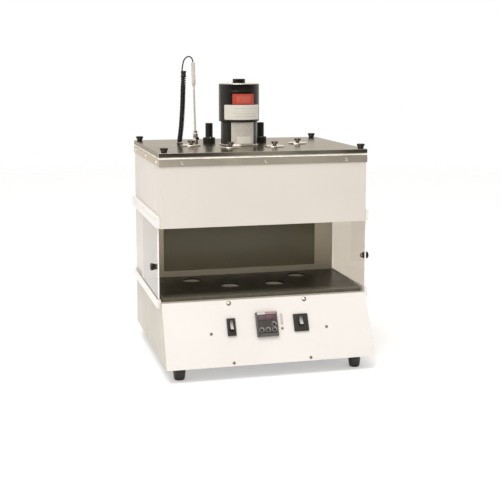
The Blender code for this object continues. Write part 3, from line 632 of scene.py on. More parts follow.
def coil_points(angle):
    """The coil along its bent axis, its turns standing a little apart below the sleeve and straightening out in it."""
    out, side = [], Vector((1, 0, 0))
    for p, q in zip(axis_line, axis_line[1:]):
        d = (q - p).normalized()
        side = (side - d * side.dot(d)).normalized()
        other = d.cross(side)
        apart = max(0.0, min(1.0, (p.z - 0.550) / 0.012))
        ease = max(0.0, min(1.0, (p.z - 0.5730) / 0.0080))
        rate = math.tau / (0.00302 + 0.0009 * apart) * (1 - ease * ease * (3 - 2 * ease))
        for k in range(8):
            at = p + (q - p) * (k / 8)
            out.append(at + side * (0.0042 * math.cos(angle)) + other * (0.0042 * math.sin(angle)))
            angle += rate * (q - p).length / 8
    return out, angle, side, other


_, turned_by, side, other = coil_points(0.0)
away = Vector(LEAD[0]) - axis_line[-1]
helix, _, _, _ = coil_points(math.atan2(away.dot(other), away.dot(side)) - turned_by)
# one line from the lid, round the coil, out of the sleeve and over into the probe's top
kept = [helix[0]]
for p in helix[1:]:
    if (p - kept[-1]).length > 0.0011:
        kept.append(p)
line = kept + smooth_curve([kept[-1], *LEAD], 0.0012)[1:]
line = [p + Vector((0, 0, LEG)) for p in line]
cord_data = bpy.data.curves.new("probe_cord", "CURVE")
cord_data.dimensions, cord_data.bevel_depth, cord_data.bevel_resolution, cord_data.use_fill_caps = "3D", WIRE / 2, 3, True
s = cord_data.splines.new("POLY")
s.points.add(len(line) - 1)
for p, q in zip(s.points, line):
    p.co = (*q, 1)
s.use_smooth = True
cord_data.materials.append(JACKET)
cord = bpy.data.objects.new("probe_cord", cord_data)
scene.collection.objects.link(cord)
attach(cord, "lid_assembly")
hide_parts("coiled_lead", "probe_lead")

# ------------------------------------------------------------------- small fasteners
def screw_head(radius, height, drive="cross", steps=36):
    """A pan head standing on z = 0, with its drive cut in."""
    prof = [(0, height), (radius * 0.55, height * 0.97), (radius * 0.86, height * 0.72), (radius, height * 0.25), (radius, 0), (0, 0)]
    bm = spun(prof, steps=steps, soften=0.0, n=2)
    w, d = radius * 0.16, height * 0.55
    if drive == "slot":
        return cut(bm, box((-radius * 1.2, -w, height - d), (radius * 1.2, w, height * 2)))
    if drive == "hex":
        return cut(bm, rod((0, 0), radius * 0.5, height - d * 1.3, height * 2, segments=6))
    bm = cut(bm, box((-radius * 0.62, -w, height - d), (radius * 0.62, w, height * 2)))
    return cut(bm, box((-w, -radius * 0.62, height - d), (w, radius * 0.62, height * 2)))


def facing(at, normal, spin=0.0):
    q = Vector((0, 0, 1)).rotation_difference(Vector(normal).normalized())
    return Matrix.Translation(at) @ q.to_matrix().to_4x4() @ Matrix.Rotation(spin, 4, "Z")


def screws(name, places, radius, height, mat, body, drive="cross", lift=LEG):
    """One piece with a screw head at each (point, normal, turn)."""
    bm = bmesh.new()
    for at, normal, spin in places:
        one = screw_head(radius, height, drive)
        one.transform(facing(at, normal, spin))
        absorb(bm, one)
    return piece(name, bm, mat, body, sharp=30, lift=lift)


# ------------------------------------------------------------------- control base
base = plate([(BACK_Y, BASE_Z0), (BACK_Y, BASE_Z1), (slope(0.0021, BASE_Z1), BASE_Z1), (slope(0.0021, BASE_Z0), BASE_Z0)], -BASE_HW, BASE_HW, 0)
base = cut(base, plate([(BACK_Y - SHEET, BASE_Z0 - 0.01), (BACK_Y - SHEET, BASE_Z1 - SHEET), (-0.30, BASE_Z1 - SHEET), (-0.30, BASE_Z0 - 0.01)],
                       -BASE_HW + SHEET, BASE_HW - SHEET, 0),
           box((-0.1435, BACK_Y - 0.01, 0.0675), (-0.1165, BACK_Y + 0.01, 0.0875)))
piece("base_shell", base, SHADED_BASE_WHITE, "root", "base_housing", bevel=0.0009)


def on_panel_box(x, s, w, h, d0, d1, bevel=0.0, segments=3, along=None):
    return box((x - w / 2, s - h / 2, d0), (x + w / 2, s + h / 2, d1), bevel, segments, along)


TOP_S = math.hypot(SLOPE_Y1 - SLOPE_Y0, BASE_Z1 - BASE_Z0)
panel = plate([(SLOPE_Y0, BASE_Z0), (SLOPE_Y1, BASE_Z1), (slope(0.0017, BASE_Z1), BASE_Z1), (slope(0.0017, BASE_Z0), BASE_Z0)], -BASE_HW, BASE_HW, 0)
for x, s_, w, h in ((CONTROLLER[0], CONTROLLER[1], 0.0384, 0.0454), (MAINS[0], MAINS[1], 0.0126, 0.0300), (STIR[0], STIR[1], 0.0226, 0.0276)):
    tool = on_panel_box(x, s_, w, h, -0.01, 0.01)
    tool.transform(PANEL)
    panel = cut(panel, tool)
piece("front_panel_plate", panel, LIT_PANEL_WHITE, "root", "front_panel", bevel=0.0006)

out = _n


def on_panel(c):
    """A finished point seen from the panel: across, up the slope and out of it."""
    return PANEL_BACK @ (c - Vector((0, 0, LEG)))


PANEL_BACK = PANEL.inverted()


def at_panel(x, s_, d=0.0):
    return PANEL @ Vector((x, s_, d))


screws("panel_screws", [(at_panel(x, s_, 0.0), out, a) for x, s_, a in ((-0.117, 0.065, 0.3), (0.117, 0.065, 0.9), (-0.0775, 0.0063, 0.5), (0.0775, 0.0063, 1.1))],
       0.0030, 0.0014, SCREW_STEEL, "root")
# two slotted studs at the panel's top edge; the lower side of each washer is black, a painted shadow under the stud
# head
stud = bmesh.new()
for x in (-0.077, 0.077):
    for prof in ([(0, 0.0030), (0.0014, 0.0029), (0.0027, 0.0021), (0.0031, 0.0011), (0.0031, 0.0004), (0, 0.0004)],):
        absorb(stud, spun(prof, (x, 0.1236, 0), steps=40, soften=0.0002, indices=lambda r, z: 0))
    absorb(stud, spun([(0.0034, 0.0008), (0.0046, 0.0008), (0.0049, GAP), (0.0034, GAP)], (x, 0.1236, 0), steps=40, closed=True, soften=0.0001, indices=lambda r, z: 1))
piece("panel_latch_studs", stud, [BRIGHT_STEEL, BEZEL_BLACK, PLATE_STEEL], "root", matrix=PANEL, sharp=30,
      choose=lambda c, n: 0 if math.hypot(abs(c.x) - 0.077, on_panel(c).y - 0.1236) < 0.0033 else (1 if (on_panel(c).y - 0.1236) - 0.9 * (c.x - math.copysign(0.077, c.x)) < 0.0004 else 2))

# the temperature controller
cx, cs, cw, ch = CONTROLLER
bezel = on_panel_box(cx, cs, cw, ch, GAP, 0.0062, 0.0018, 4)
bezel = cut(bezel, on_panel_box(cx, 0.0768, cw - 0.0056, 0.0374, 0.0052, 0.02, 0.0012, 3, 2))
bezel = join(bezel, on_panel_box(cx, cs, 0.0376, 0.0446, -0.0700, 0.0030, 0.0008, 2))
for x, s_ in KEYS:
    bezel = cut(bezel, rod((x, s_), 0.0037, 0.0026, 0.02, segments=48))
piece("controller_case", bezel, [CONTROL_GREY, CONTROL_DARK], "root", "temperature_controller", matrix=PANEL, bevel=0.0003, segments=2, angle=40,
      choose=lambda c, n: 1 if abs(c.x - cx) < cw / 2 - 0.0024 and 0.059 < on_panel(c).y < 0.0945 and on_panel(c).z < 0.0056 else 0)
collars = bmesh.new()
for x, s_ in KEYS:
    ring = spun([(0.0037, 0.0058), (0.0046, 0.0058), (0.0049, 0.0052), (0.0037, 0.0052)], (x, s_, 0), steps=48, closed=True, soften=0.0001)
    absorb(collars, ring)
piece("controller_key_rings", collars, KEY_RING, "root", matrix=PANEL)
# a small pale crescent at the upper edge of each key's place: a painted highlight standing for the glint on the glossy
# keys
key_glints = bmesh.new()
for x, s_ in KEYS:
    absorb(key_glints, plate([(x - 0.0026, s_ + 0.0036), (x + 0.0014, s_ + 0.0040), (x + 0.0044, s_ + 0.0012), (x + 0.0046, s_ - 0.0016), (x + 0.0036, s_ - 0.0012), (x + 0.0030, s_ + 0.0010), (x + 0.0010, s_ + 0.0026)],
                        0.0059, 0.0060, 2, 0.0002, 2))
piece("controller_key_painted_glints", key_glints, STRIP_PALE, "root", matrix=PANEL)
piece("controller_window", on_panel_box(cx - 0.0004, 0.0898, 0.0350, 0.0108, 0.0052 + GAP, 0.0059, 0.0004, 2), LENS, "root", matrix=PANEL)
piece("controller_strip_pale", on_panel_box(cx - 0.0104, 0.0982, 0.0160, 0.0044, 0.0061, 0.00635, 0.0001, 1), STRIP_PALE, "root", matrix=PANEL)
piece("controller_strip_red", on_panel_box(cx + 0.0086, 0.0982, 0.0208, 0.0044, 0.0061, 0.00635, 0.0001, 1), STRIP_RED, "root", matrix=PANEL)
piece("controller_lower_band", on_panel_box(cx, 0.0603, 0.0372, 0.0026, 0.0052 - 0.0002, 0.0055, 0.0003, 2), BEZEL_BLACK, "root", matrix=PANEL)
for i, (x, s_) in enumerate(KEYS, 1):
    piece(f"controller_key_cap_{i}", spun([(0, 0.0079), (0.0014, 0.0078), (0.0026, 0.0073), (0.0032, 0.0064), (0.0033, 0.0055), (0.0033, 0.0041), (0, 0.0041)], (x, s_, 0), steps=48, soften=0.0002),
          KEY_BLACK, f"key_{i}", f"controller_key_{i}", matrix=PANEL)


def switch(name, node, spec, face, rx, rs, rw, rl, pocket, body_w, body_h, depth):
    bm = on_panel_box(*spec, GAP, face, 0.0009, 3)
    bm = join(bm, on_panel_box(spec[0], spec[1], body_w, body_h, -depth, face - 0.0012, 0.0004, 1))
    bm = cut(bm, on_panel_box(rx, rs, *pocket, -0.0022 if node == "mains_switch" else -0.0030, 0.02))
    bm = join(bm, cut(on_panel_box(rx, rs, pocket[0] + 0.0016, pocket[1] + 0.0016, face - 0.0010, face + 0.0004, 0.0004, 2, 2),
                      on_panel_box(rx, rs, pocket[0], pocket[1], 0.0, 0.02)))
    return piece(name, bm, BEZEL_BLACK, "root", node, matrix=PANEL, bevel=0.0002, segments=2, angle=40)


def paddle(name, x, s_, width, length_, face, body, node):
    half, tilt = length_ / 2, math.radians(12)
    prof = [(-half, 0.0030), (-half + 0.0008, 0.0036), (-half * 0.45, 0.0022), (0, 0.0016), (half * 0.45, 0.0022),
            (half - 0.0008, 0.0036), (half, 0.0030), (half * 0.75, -0.0030), (-half * 0.75, -0.0030)]
    prof = [(a, b, 0.0004 if k in (0, 1, 5, 6) else 0.002) for k, (a, b) in enumerate(prof)]
    bm = plate(prof, -width / 2, width / 2, 0, 0.0006, 5)
    bm.transform(Matrix.Translation((x, s_, face)) @ Matrix.Translation((0, 0, -0.001)) @ Matrix.Rotation(-tilt, 4, "X") @ Matrix.Translation((0, 0, 0.001)))
    for sx_ in (-1, 1):
        bmesh.ops.bisect_plane(bm, geom=bm.verts[:] + bm.edges[:] + bm.faces[:], plane_co=(x + sx_ * width * 0.37, 0, 0), plane_no=(1, 0, 0))
    return piece(name, bm, [ROCKER, BEZEL_BLACK], body, node, matrix=PANEL, sharp=50, choose=lambda c, n: 1 if abs(c.x - x) > width * 0.37 else 0)


switch("mains_switch_bezel", "mains_switch", MAINS, 0.0042, MAINS[0], 0.0785, 0.0076, 0.0190, (0.0084, 0.0216), 0.0118, 0.0292, 0.0420)
paddle("mains_paddle", MAINS[0], 0.0785, 0.0076, 0.0190, 0.0042, "mains_rocker", "mains_rocker")
switch("stirrer_switch_bezel", "stirrer_switch", STIR, 0.0034, STIR[0], 0.0792, 0.0088, 0.0166, (0.0098, 0.0190), 0.0218, 0.0268, 0.0360)
paddle("stirrer_paddle", STIR[0], 0.0792, 0.0088, 0.0166, 0.0034, "stirrer_rocker", "stirrer_rocker")

pilot = spun([(0, 0.0022), (0.0012, 0.0021), (0.0021, 0.0016), (0.0024, 0.0008), (0.0024, 0), (0, 0)], (*PILOT, 0), steps=40, soften=0.0001)
piece("pilot_lamp_lens", pilot, PILOT_LENS, "root", matrix=PANEL)
piece("pilot_lamp_ring", spun([(0.0025, 0.0006), (0.0030, 0.0006), (0.0032, 0.0001), (0.0032, 0.0), (0.0025, 0.0)], (*PILOT, 0), steps=40, closed=True, soften=0.0001), BRIGHT_STEEL, "root", matrix=PANEL)
piece("panel_strip_label", plate([(0.0240, 0.0745), (0.0293, 0.0745), (0.0293, 0.0968), (0.0240, 0.0968)], 0.00002, 0.00018, 2, 0.0006), LABEL_PINK, "root", matrix=PANEL)

# feet, bottom plate, inlet, relay
for where, (x, y) in FEET.items():
    foot = spun([(0, 0.0345), (0.0025, 0.0345), (0.0025, 0.0277), (0.0098, 0.0277), (0.0104, 0.0240), (0.0119, 0.0190), (0.0122, 0.0140), (0.0111, 0.0050), (0.0102, 0.0012), (0.0090, 0.0),
                 (0.0046, 0.0), (0.0042, 0.0042), (0, 0.0042)], (x, y, 0), steps=72, soften=0.0010, n=4)
    piece("rubber_foot_" + where, foot, RUBBER, "root", "foot_" + where, lift=0.0)
screws("foot_screws", [((x, y, 0.0042), (0, 0, -1), 0.4 + x) for x, y in FEET.values()], 0.0036, 0.0018, ZINC, "root", lift=0.0)
plate_ = cut(box((-0.2068, -0.2160, 0.0228), (0.2068, 0.1738, 0.0243)), together(*[rod(p, 0.0029, 0.01, 0.04, segments=32) for p in FEET.values()]))
slots_ = bmesh.new()
for r in range(2):
    for k in range(7):
        x, y = -0.06 + 0.02 * k, -0.030 + 0.060 * r
        absorb(slots_, box((x - 0.0020, y - 0.015, 0.01), (x + 0.0020, y + 0.015, 0.04), 0.0019, 4, 2))
piece("underside_plate", cut(plate_, slots_), ZINC, "root", "bottom_plate", bevel=0.0003, segments=2)
screws("underside_screws", [((x, y, 0.0228), (0, 0, -1), x * 9 + y) for x in (-0.196, 0.0, 0.196) for y in (-0.200, 0.160)], 0.0030, 0.0012, ZINC, "root")

inlet = box((-0.1455, BACK_Y + GAP, 0.0652), (-0.1145, BACK_Y + 0.0030, 0.0898), 0.0009, 3)
inlet = join(inlet, box((-0.1431, 0.1520, 0.0679), (-0.1169, BACK_Y + 0.0015, 0.0871), 0.0005, 2))
inlet = cut(inlet, box((-0.1420, 0.1600, 0.0695), (-0.1180, BACK_Y + 0.02, 0.0855), 0.0030, 5, 1))
piece("inlet_socket", inlet, BEZEL_BLACK, "root", "power_inlet", bevel=0.0003, segments=2, angle=40)
pins = together(*[box((x - 0.0020, 0.1600 + GAP, z - 0.0010), (x + 0.0020, 0.1725, z + 0.0010), 0.0005, 2) for x, z in ((-0.1370, 0.0755), (-0.1300, 0.0800), (-0.1230, 0.0755))])
piece("inlet_pins", pins, BRIGHT_STEEL, "root", sharp=30)
relay = join(box((0.060, 0.090, 0.0250), (0.105, 0.150, 0.0300), 0.0005, 2), box((0.064, 0.092, 0.0290), (0.101, 0.148, 0.0480), 0.0012, 3))
piece("relay_block", relay, BEZEL_BLACK, "root", "heater_relay", sharp=30)

# ------------------------------------------------------------------- flask compartment
shelf = plate([(-0.2055, -0.1510), (0.2055, -0.1510), (0.2055, 0.0465), (-0.2055, 0.0465)], BASE_Z1 + GAP, SHELF_Z1, 2, 0.0050, 6)
shelf = cut(shelf, together(*[spun([(0, 0.150), (0.0212, 0.150), (0.0200, SHELF_Z1 - 0.0012), (0.0200, 0.1300), (0, 0.1300)], (*h, 0), steps=96, soften=0) for h in HOLES]))
piece("flask_shelf_board", shelf, [SHELF, SHELF_EDGE], "root", "flask_shelf", bevel=0.0005, segments=3, angle=40,
      choose=lambda c, n: 1 if n.y < -0.5 and c.y < -0.145 else 0)
liners = bmesh.new()
for h in HOLES:
    absorb(liners, spun([(0.0199, BASE_Z1 + 0.0003), (0.0199, SHELF_Z1 - 0.0034), (0.0192, SHELF_Z1 - 0.0034), (0.0192, BASE_Z1 + 0.0003)], (*h, 0), steps=96, closed=True, soften=0.0002))
    absorb(liners, spun([(0, BASE_Z1 + 0.0008), (0.0192, BASE_Z1 + 0.0008), (0.0192, BASE_Z1 + 0.0003), (0, BASE_Z1 + 0.0003)], (*h, 0), steps=96, soften=0.0001))
piece("flask_seat_liners", liners, SHADED_BASE_WHITE, "root", sharp=40)
column = cut(box((-BASE_HW, COLUMN_Y0 + SHEET + GAP, BASE_Z1 + GAP), (BASE_HW, BACK_Y - SHEET - GAP, HOUSING_Z0 - GAP)),
             box((-BASE_HW + SHEET, 0.0, BASE_Z1 + GAP + SHEET), (BASE_HW - SHEET, 0.25, HOUSING_Z0 - GAP - SHEET)))
piece("column_shell", column, WHITE, "root", "rear_column", bevel=0.0005)
back = plate([(-BASE_HW, BASE_Z1 + GAP), (BASE_HW, BASE_Z1 + GAP), (BASE_HW, HOUSING_Z0 - GAP), (-BASE_HW, HOUSING_Z0 - GAP)], COLUMN_Y0, COLUMN_Y0 + SHEET, 1)
back = cut(back, plate([(-0.1680, 0.1590), (0.1680, 0.1590), (0.1680, 0.2760), (-0.1680, 0.2760)], 0.0, 0.1, 1, 0.0025, 6))
piece("compartment_back_plate", back, PLATE_STEEL, "root", "compartment_back", bevel=0.0004, segments=2)
piece("diffuser_sheet", box((-0.2060, COLUMN_Y0 + SHEET + GAP, 0.1426), (0.2060, COLUMN_Y0 + SHEET + GAP + 0.0030, 0.2828), 0.0004, 2), OPAL, "root", "light_diffuser", sharp=30)
lamp = spun([(0, 0.1420), (0.0030, 0.1420), (0.0030, 0.1360), (0.0080, 0.1355), (0.0080, -0.1355), (0.0030, -0.1360), (0.0030, -0.1420), (0, -0.1420)], (0, 0.0950, 0.2120), axis=0, steps=40,
            indices=lambda r, z: 1 if abs(z) > 0.128 or r < 0.004 else 0)
piece("fluorescent_tube", lamp, [LAMP, BRIGHT_STEEL], "root", "lamp_tube")
piece("rear_cover_plate", box((-BASE_HW, BACK_Y - SHEET, BASE_Z1 + GAP), (BASE_HW, BACK_Y, HOUSING_Z0 - GAP), 0.0005, 3), WHITE, "root", "rear_cover", sharp=30)
screws("rear_cover_screws", [((x, BACK_Y, z), (0, 1, 0), x * 7 + z * 31) for x in (-0.195, 0.0, 0.195) for z in (0.152, 0.274)], 0.0030, 0.0014, BRIGHT_STEEL, "root")

for side_, sgn in (("left", -1), ("right", 1)):
    Y0, Y1 = HOUSING_Y0 + 0.0015, BACK_Y
    lower = [(0.2090, 0.1292), (0.2158, 0.1292), (0.2158, 0.1466), (0.2138, 0.1466), (0.2138, 0.1340), (0.2102, 0.1340), (0.2102, 0.1466), (0.2090, 0.1466)]
    upper = [(0.2090, 0.2862), (0.2102, 0.2862), (0.2102, 0.3020), (0.2138, 0.3020), (0.2138, 0.2862), (0.2158, 0.2862), (0.2158, 0.3075), (0.2090, 0.3075)]
    for name, prof, node in (("lower_channel_", lower, "lower_rail_"), ("upper_channel_", upper, "upper_rail_")):
        bm = plate([(sgn * x, z) for x, z in prof], Y0, Y1, 1)
        if prof is upper:
            bm = cut(bm, box((min(sgn * 0.2151, sgn * 0.2170), -0.30, 0.2992), (max(sgn * 0.2151, sgn * 0.2170), 0.30, 0.3002)))
        piece(name + side_, bm, RAIL_WHITE, "root", node + side_, bevel=0.00045, segments=3, angle=40)
    ends_ = together(*[box((min(sgn * 0.2100, sgn * 0.2148), Y0 + 0.0002, z0), (max(sgn * 0.2100, sgn * 0.2148), Y0 + 0.0012, z1), 0.0002, 2) for z0, z1 in ((0.1338, 0.1464), (0.2864, 0.3022))])
    piece("rail_ends_" + side_, ends_, RAIL_WHITE, "root", sharp=30)
    lo, hi = sorted((sgn * 0.2105, sgn * 0.2135))
    y, z = DOOR_KNOB[side_]
    door = cut(box((lo, DOOR_Y0, 0.1343), (hi, DOOR_Y1, 0.2990)), rod((y, z), 0.0023, lo - 0.01, hi + 0.01, 0, 32))
    piece("acrylic_door_" + side_, door, [ACRYLIC, ACRYLIC_EDGE], "door_" + side_, "side_door_" + side_, bevel=0.0003, segments=2, angle=40,
          choose=lambda c, n: 1 if abs(n.x) < 0.5 and (c.y < DOOR_Y0 + 0.002 or c.y > DOOR_Y1 - 0.002 or c.z < 0.142 or c.z > 0.302) else 0)
    knob = spun([(0, 0.2250), (0.0054, 0.2250), (0.0069, 0.2241), (0.0073, 0.2222), (0.0063, 0.2175), (0.0052, 0.2145), (0.0052, 0.2138), (0.0019, 0.2138), (0.0019, 0.2102),
                 (0.0042, 0.2102), (0.0042, 0.2094), (0, 0.2094)], (0, y, z), axis=0, steps=64, sign=sgn, soften=0.0006, indices=lambda r, h: 1 if h < 0.2137 else 0)
    piece("door_pull_" + side_, knob, [KNOB_BLACK, BRIGHT_STEEL], "door_" + side_, "door_knob_" + side_)
    outer = sgn * 0.2158
    screws("rail_screws_" + side_, [((outer, yy, 0.3048), (sgn, 0, 0), yy * 11) for yy in (-0.148, 0.010, 0.165)]
           + [((outer, yy, 0.1330), (sgn, 0, 0), yy * 7 + 1) for yy in (-0.148, 0.010, 0.165)], 0.0022, 0.0010, BRIGHT_STEEL, "root")

# ------------------------------------------------------------------- upper housing and tank
housing = box((-BASE_HW, HOUSING_Y0, HOUSING_Z0), (BASE_HW, BACK_Y, HOUSING_Z1), 0.0016, 4, 2)
housing = cut(housing, box((-BASE_HW + SHEET, HOUSING_Y0 + SHEET, HOUSING_Z0 + SHEET), (BASE_HW - SHEET, BACK_Y - SHEET, 0.5)))
housing = cut(housing, together(*[rod(t, 0.0088, 0.27, 0.295) for t in TUBES]), rod(DRAIN, 0.0068, 0.17, 0.19, 1))
piece("housing_shell", housing, WHITE, "root", "upper_housing", bevel=0.0006, angle=40)

wool_ = cut(box((-0.2067, -0.1577, 0.2873), (0.2067, 0.1737, 0.4120), 0.001, 2), box((-0.1862, -0.1372, 0.3018), (0.1862, 0.1532, 0.5)))
wool_ = cut(wool_, together(*[rod(t, 0.0100, 0.28, 0.31, segments=32) for t in TUBES]), rod(DRAIN, 0.0075, 0.14, 0.19, 1, 32))
piece("wool_lagging", wool_, WOOL, "root", "insulation", sharp=30)

tank = box((-0.2103, OY - 0.1693, 0.4046), (0.2103, OY + 0.1693, FLANGE_TOP), 0.0012, 3, 2)
tank = cut(tank, box((-0.2091, OY - 0.1681, 0.39), (0.2091, OY + 0.1681, FLANGE_TOP - SHEET), 0.0006, 3, 2))
tank = join(tank, box((-TANK_HW - SHEET, OY - TANK_HD - SHEET, TANK_FLOOR - SHEET), (TANK_HW + SHEET, OY + TANK_HD + SHEET, FLANGE_TOP - 0.0005), 0.0040, 4, 2))
tank = cut(tank, box((-TANK_HW, OY - TANK_HD, TANK_FLOOR), (TANK_HW, OY + TANK_HD, 0.5), 0.0030, 4, 2))
tank = cut(tank, together(*[rod(t, 0.0083, 0.29, 0.315) for t in TUBES], *[rod(k, 0.0027, 0.41, 0.43, segments=32) for k in CORNERS.values()]), rod(DRAIN, 0.0064, 0.14, 0.16, 1))
piece("tank_and_flange", tank, [TANK_STEEL, BAND_STEEL], "root", "tank", bevel=0.0005, segments=3, angle=40,
      choose=lambda c, n: 1 if c.z < FLANGE_TOP + 0.001 and c.z > 0.4040 and (abs(c.x) > 0.2085 or abs(c.y - OY) > 0.1675) and abs(n.z) < 0.5 else 0)
fy, by, sx = OY - 0.1693, OY + 0.1693, 0.2103
screws("rim_screws", [((x, fy, 0.4110), (0, -1, 0), x * 13) for x in (-0.165, 0.0, 0.166)] + [((x, by, 0.4110), (0, 1, 0), x * 5) for x in (-0.165, 0.0, 0.166)]
       + [((-sx, y, 0.4110), (-1, 0, 0), y * 17) for y in (-0.130, 0.008, 0.146)] + [((sx, y, 0.4110), (1, 0, 0), y * 3) for y in (-0.130, 0.008, 0.146)],
       0.0029, 0.0015, BRIGHT_STEEL, "root")

for i, t in enumerate(TUBES, 1):
    tube = spun([(0.0009, 0.3010, 0), (0.0009, 0.3090, 0), (0.0060, 0.3110), (0.0150, 0.3180), (0.0150, 0.4000), (0.0195, 0.4040), (0.0195, 0.4280),
                 (0.0210, 0.4280), (0.0210, 0.4025), (0.0166, 0.3985), (0.0166, 0.3070), (0.0150, 0.3042), (0.0080, 0.3042), (0.0080, 0.2800),
                 (0.0065, 0.2725), (0.0040, 0.2725), (0.0030, 0.2760), (0.0030, 0.2900)], (*t, 0), steps=72, closed=True, soften=0.0004)
    piece(f"brass_tube_{i}", tube, BRASS, "root", f"viscometer_tube_{i}")

valve = spun([(0, -0.2160), (0.0046, -0.2160), (0.0046, -0.2195), (0.0080, -0.2195), (0.0085, -0.2185), (0.0085, -0.2085), (0.0105, -0.2075), (0.0105, -0.1895), (0.0085, -0.1885),
              (0.0085, -0.1790), (0.0060, -0.1790), (0.0060, -0.1485), (0.0046, -0.1485), (0.0046, -0.1790), (0, -0.1790)], (DRAIN[0], 0, DRAIN[1]), axis=1, steps=72, sign=-1, soften=0.0004)
valve = join(valve, rod((DRAIN[0], 0.1985), 0.0055, DRAIN[1] + 0.004, DRAIN[1] + 0.0145))
hexes = together(*[rod((DRAIN[0], DRAIN[1]), 0.0098, a, b, 1, 6) for a, b in ((0.1795, 0.1865),)])
piece("drain_valve_body", join(valve, hexes), BRASS, "root", "drain_valve", bevel=0.0002, segments=2, angle=40)
arm = plate([(DRAIN[0] - 0.0450, 0.1935, 0.003), (DRAIN[0] - 0.0450, 0.2035, 0.003), (DRAIN[0] - 0.0120, 0.2035), (DRAIN[0] - 0.004, 0.2050), (DRAIN[0] - 0.004, 0.1920), (DRAIN[0] - 0.0120, 0.1935)],
            DRAIN[1] + 0.0150, DRAIN[1] + 0.0182, 2, 0.0010)
arm = join(arm, rod((DRAIN[0], 0.1985), 0.0075, DRAIN[1] + 0.0148, DRAIN[1] + 0.0188))
piece("drain_lever_arm", arm, [PLATE_STEEL, RUBBER], "drain_lever", "drain_lever", bevel=0.0005, segments=3, angle=40,
      choose=lambda c, n: 0)
grip = box((DRAIN[0] - 0.0450, 0.1932, DRAIN[1] + 0.0147), (DRAIN[0] - 0.0165, 0.2038, DRAIN[1] + 0.0185), 0.0012, 4)
piece("drain_lever_grip", grip, KNOB_BLACK, "drain_lever", sharp=30)
screws("drain_lever_nut", [((DRAIN[0], 0.1985, DRAIN[1] + 0.0188), (0, 0, 1), 0.2)], 0.0036, 0.0022, ZINC, "drain_lever", "hex")

gasket = cut(box((-0.2095, OY - 0.1685, FLANGE_TOP + GAP), (0.2095, OY + 0.1685, LID_SKIRT - GAP), 0.0010, 3), box((-0.1855, OY - 0.1435, 0.41), (0.1855, OY + 0.1435, 0.43)),
             together(*[rod(k, 0.0030, 0.41, 0.43, segments=32) for k in CORNERS.values()]))
piece("silicone_gasket", gasket, SILICONE, "root", "lid_gasket", sharp=30)

# ------------------------------------------------------------------- lid and what stands on it
lid = box((-LID_HW, OY - LID_HD, LID_SKIRT), (LID_HW, OY + LID_HD, LID_TOP))
lid = cut(lid, box((-LID_HW + SHEET, OY - LID_HD + SHEET, 0.40), (LID_HW - SHEET, OY + LID_HD - SHEET, LID_UNDER)))
lid = cut(lid, together(*[rod(t, 0.0185, 0.42, 0.44, segments=96) for t in TUBES], rod(MOTOR, 0.0070, 0.42, 0.44), *[rod(h, 0.0076, 0.42, 0.44) for h in HEATERS.values()],
                        rod(PROBE, 0.0050, 0.42, 0.44), *[rod(k, 0.0030, 0.42, 0.44, segments=32) for k in CORNERS.values()]))
piece("lid_plate", lid, [LID_STEEL, SKIRT_STEEL], "lid_assembly", "lid", bevel=0.0009, segments=4, angle=40,
      choose=lambda c, n: 1 if abs(n.z) < 0.5 and (abs(c.x) > LID_HW - 0.001 or abs(c.y - OY) > LID_HD - 0.001) else 0)

for i, t in enumerate(TUBES, 1):
    cap = spun([(0, 0.4409), (0.0052, 0.4409, 0.0003), (0.0062, 0.4414), (0.0072, 0.4412), (0.0078, 0.4404), (0.0077, 0.4395), (0.0036, 0.4343), (0.0034, 0.4335), (0.0100, 0.4331),
                (0.0184, 0.4330), (0.0198, 0.4324), (0.0200, 0.4316), (0.0198, ON_LID), (0, ON_LID)], (*t, 0), steps=80, soften=0.0004, indices=lambda r, z: 0 if z > 0.4336 else 1)
    piece(f"tube_cap_disc_{i}", cap, [CAP_KNOB, CHROME], f"cap_{i}", f"tube_cap_{i}")
for where, k in CORNERS.items():
    knob = spun([(0, 0.4399), (0.0050, 0.4400), (0.0068, 0.4402), (0.0080, 0.4394), (0.0081, 0.4372), (0.0062, 0.4340), (0.0058, ON_LID), (0.0022, ON_LID), (0.0022, 0.4125), (0, 0.4125)],
                (*k, 0), steps=64, soften=0.0006, indices=lambda r, z: 1 if z < 0.4308 else 0)
    # shallow grip flutes round the knob's waist
    for v in knob.verts:
        r = math.hypot(v.co.x - k[0], v.co.y - k[1])
        if v.co.z > 0.4345 and r > 0.0060:
            a = math.atan2(v.co.y - k[1], v.co.x - k[0])
            f_ = 1 - 0.035 * (0.5 - 0.5 * math.cos(16 * a))
            v.co.x, v.co.y = k[0] + (v.co.x - k[0]) * f_, k[1] + (v.co.y - k[1]) * f_
    piece("lid_screw_knob_" + where, knob, [KNOB_BLACK, BRIGHT_STEEL], "knob_" + where, "lid_knob_" + where)

motor_low = spun([(0, 0.4797), (0.0366, 0.4797), (0.0378, 0.4785), (0.0378, 0.4332), (0.0382, 0.4326), (0.0407, 0.4324), (0.0407, ON_LID), (0.0046, ON_LID), (0.0046, 0.4520), (0, 0.4520)],
                 (*MOTOR, 0), steps=128, soften=0.0005, indices=lambda r, z: 1 if z < 0.4331 and r > 0.0047 else 0)
piece("motor_lower_shell", motor_low, [MOTOR_BLACK, CHROME], "lid_assembly", "motor_lower_housing")
motor_top = spun([(0, 0.5676), (0.0122, 0.5676), (0.0132, 0.5666), (0.0132, 0.5596), (0.0150, 0.5592), (0.0385, 0.5589), (0.0408, 0.5582), (0.0418, 0.5571), (0.0421, 0.5552),
                  (0.0421, 0.5440), (0.0417, 0.5437), (0.0417, 0.5431), (0.0421, 0.5428), (0.0421, 0.4812), (0.0412, 0.4800), (0, 0.4800)],
                 (*MOTOR, 0), steps=128, soften=0.0006, indices=lambda r, z: 1 if z > 0.5574 and 0.0140 < r < 0.0417 else 0)
piece("motor_upper_shell", motor_top, [MOTOR_BLACK, BRIGHT_STEEL], "lid_assembly", "motor_upper_housing")
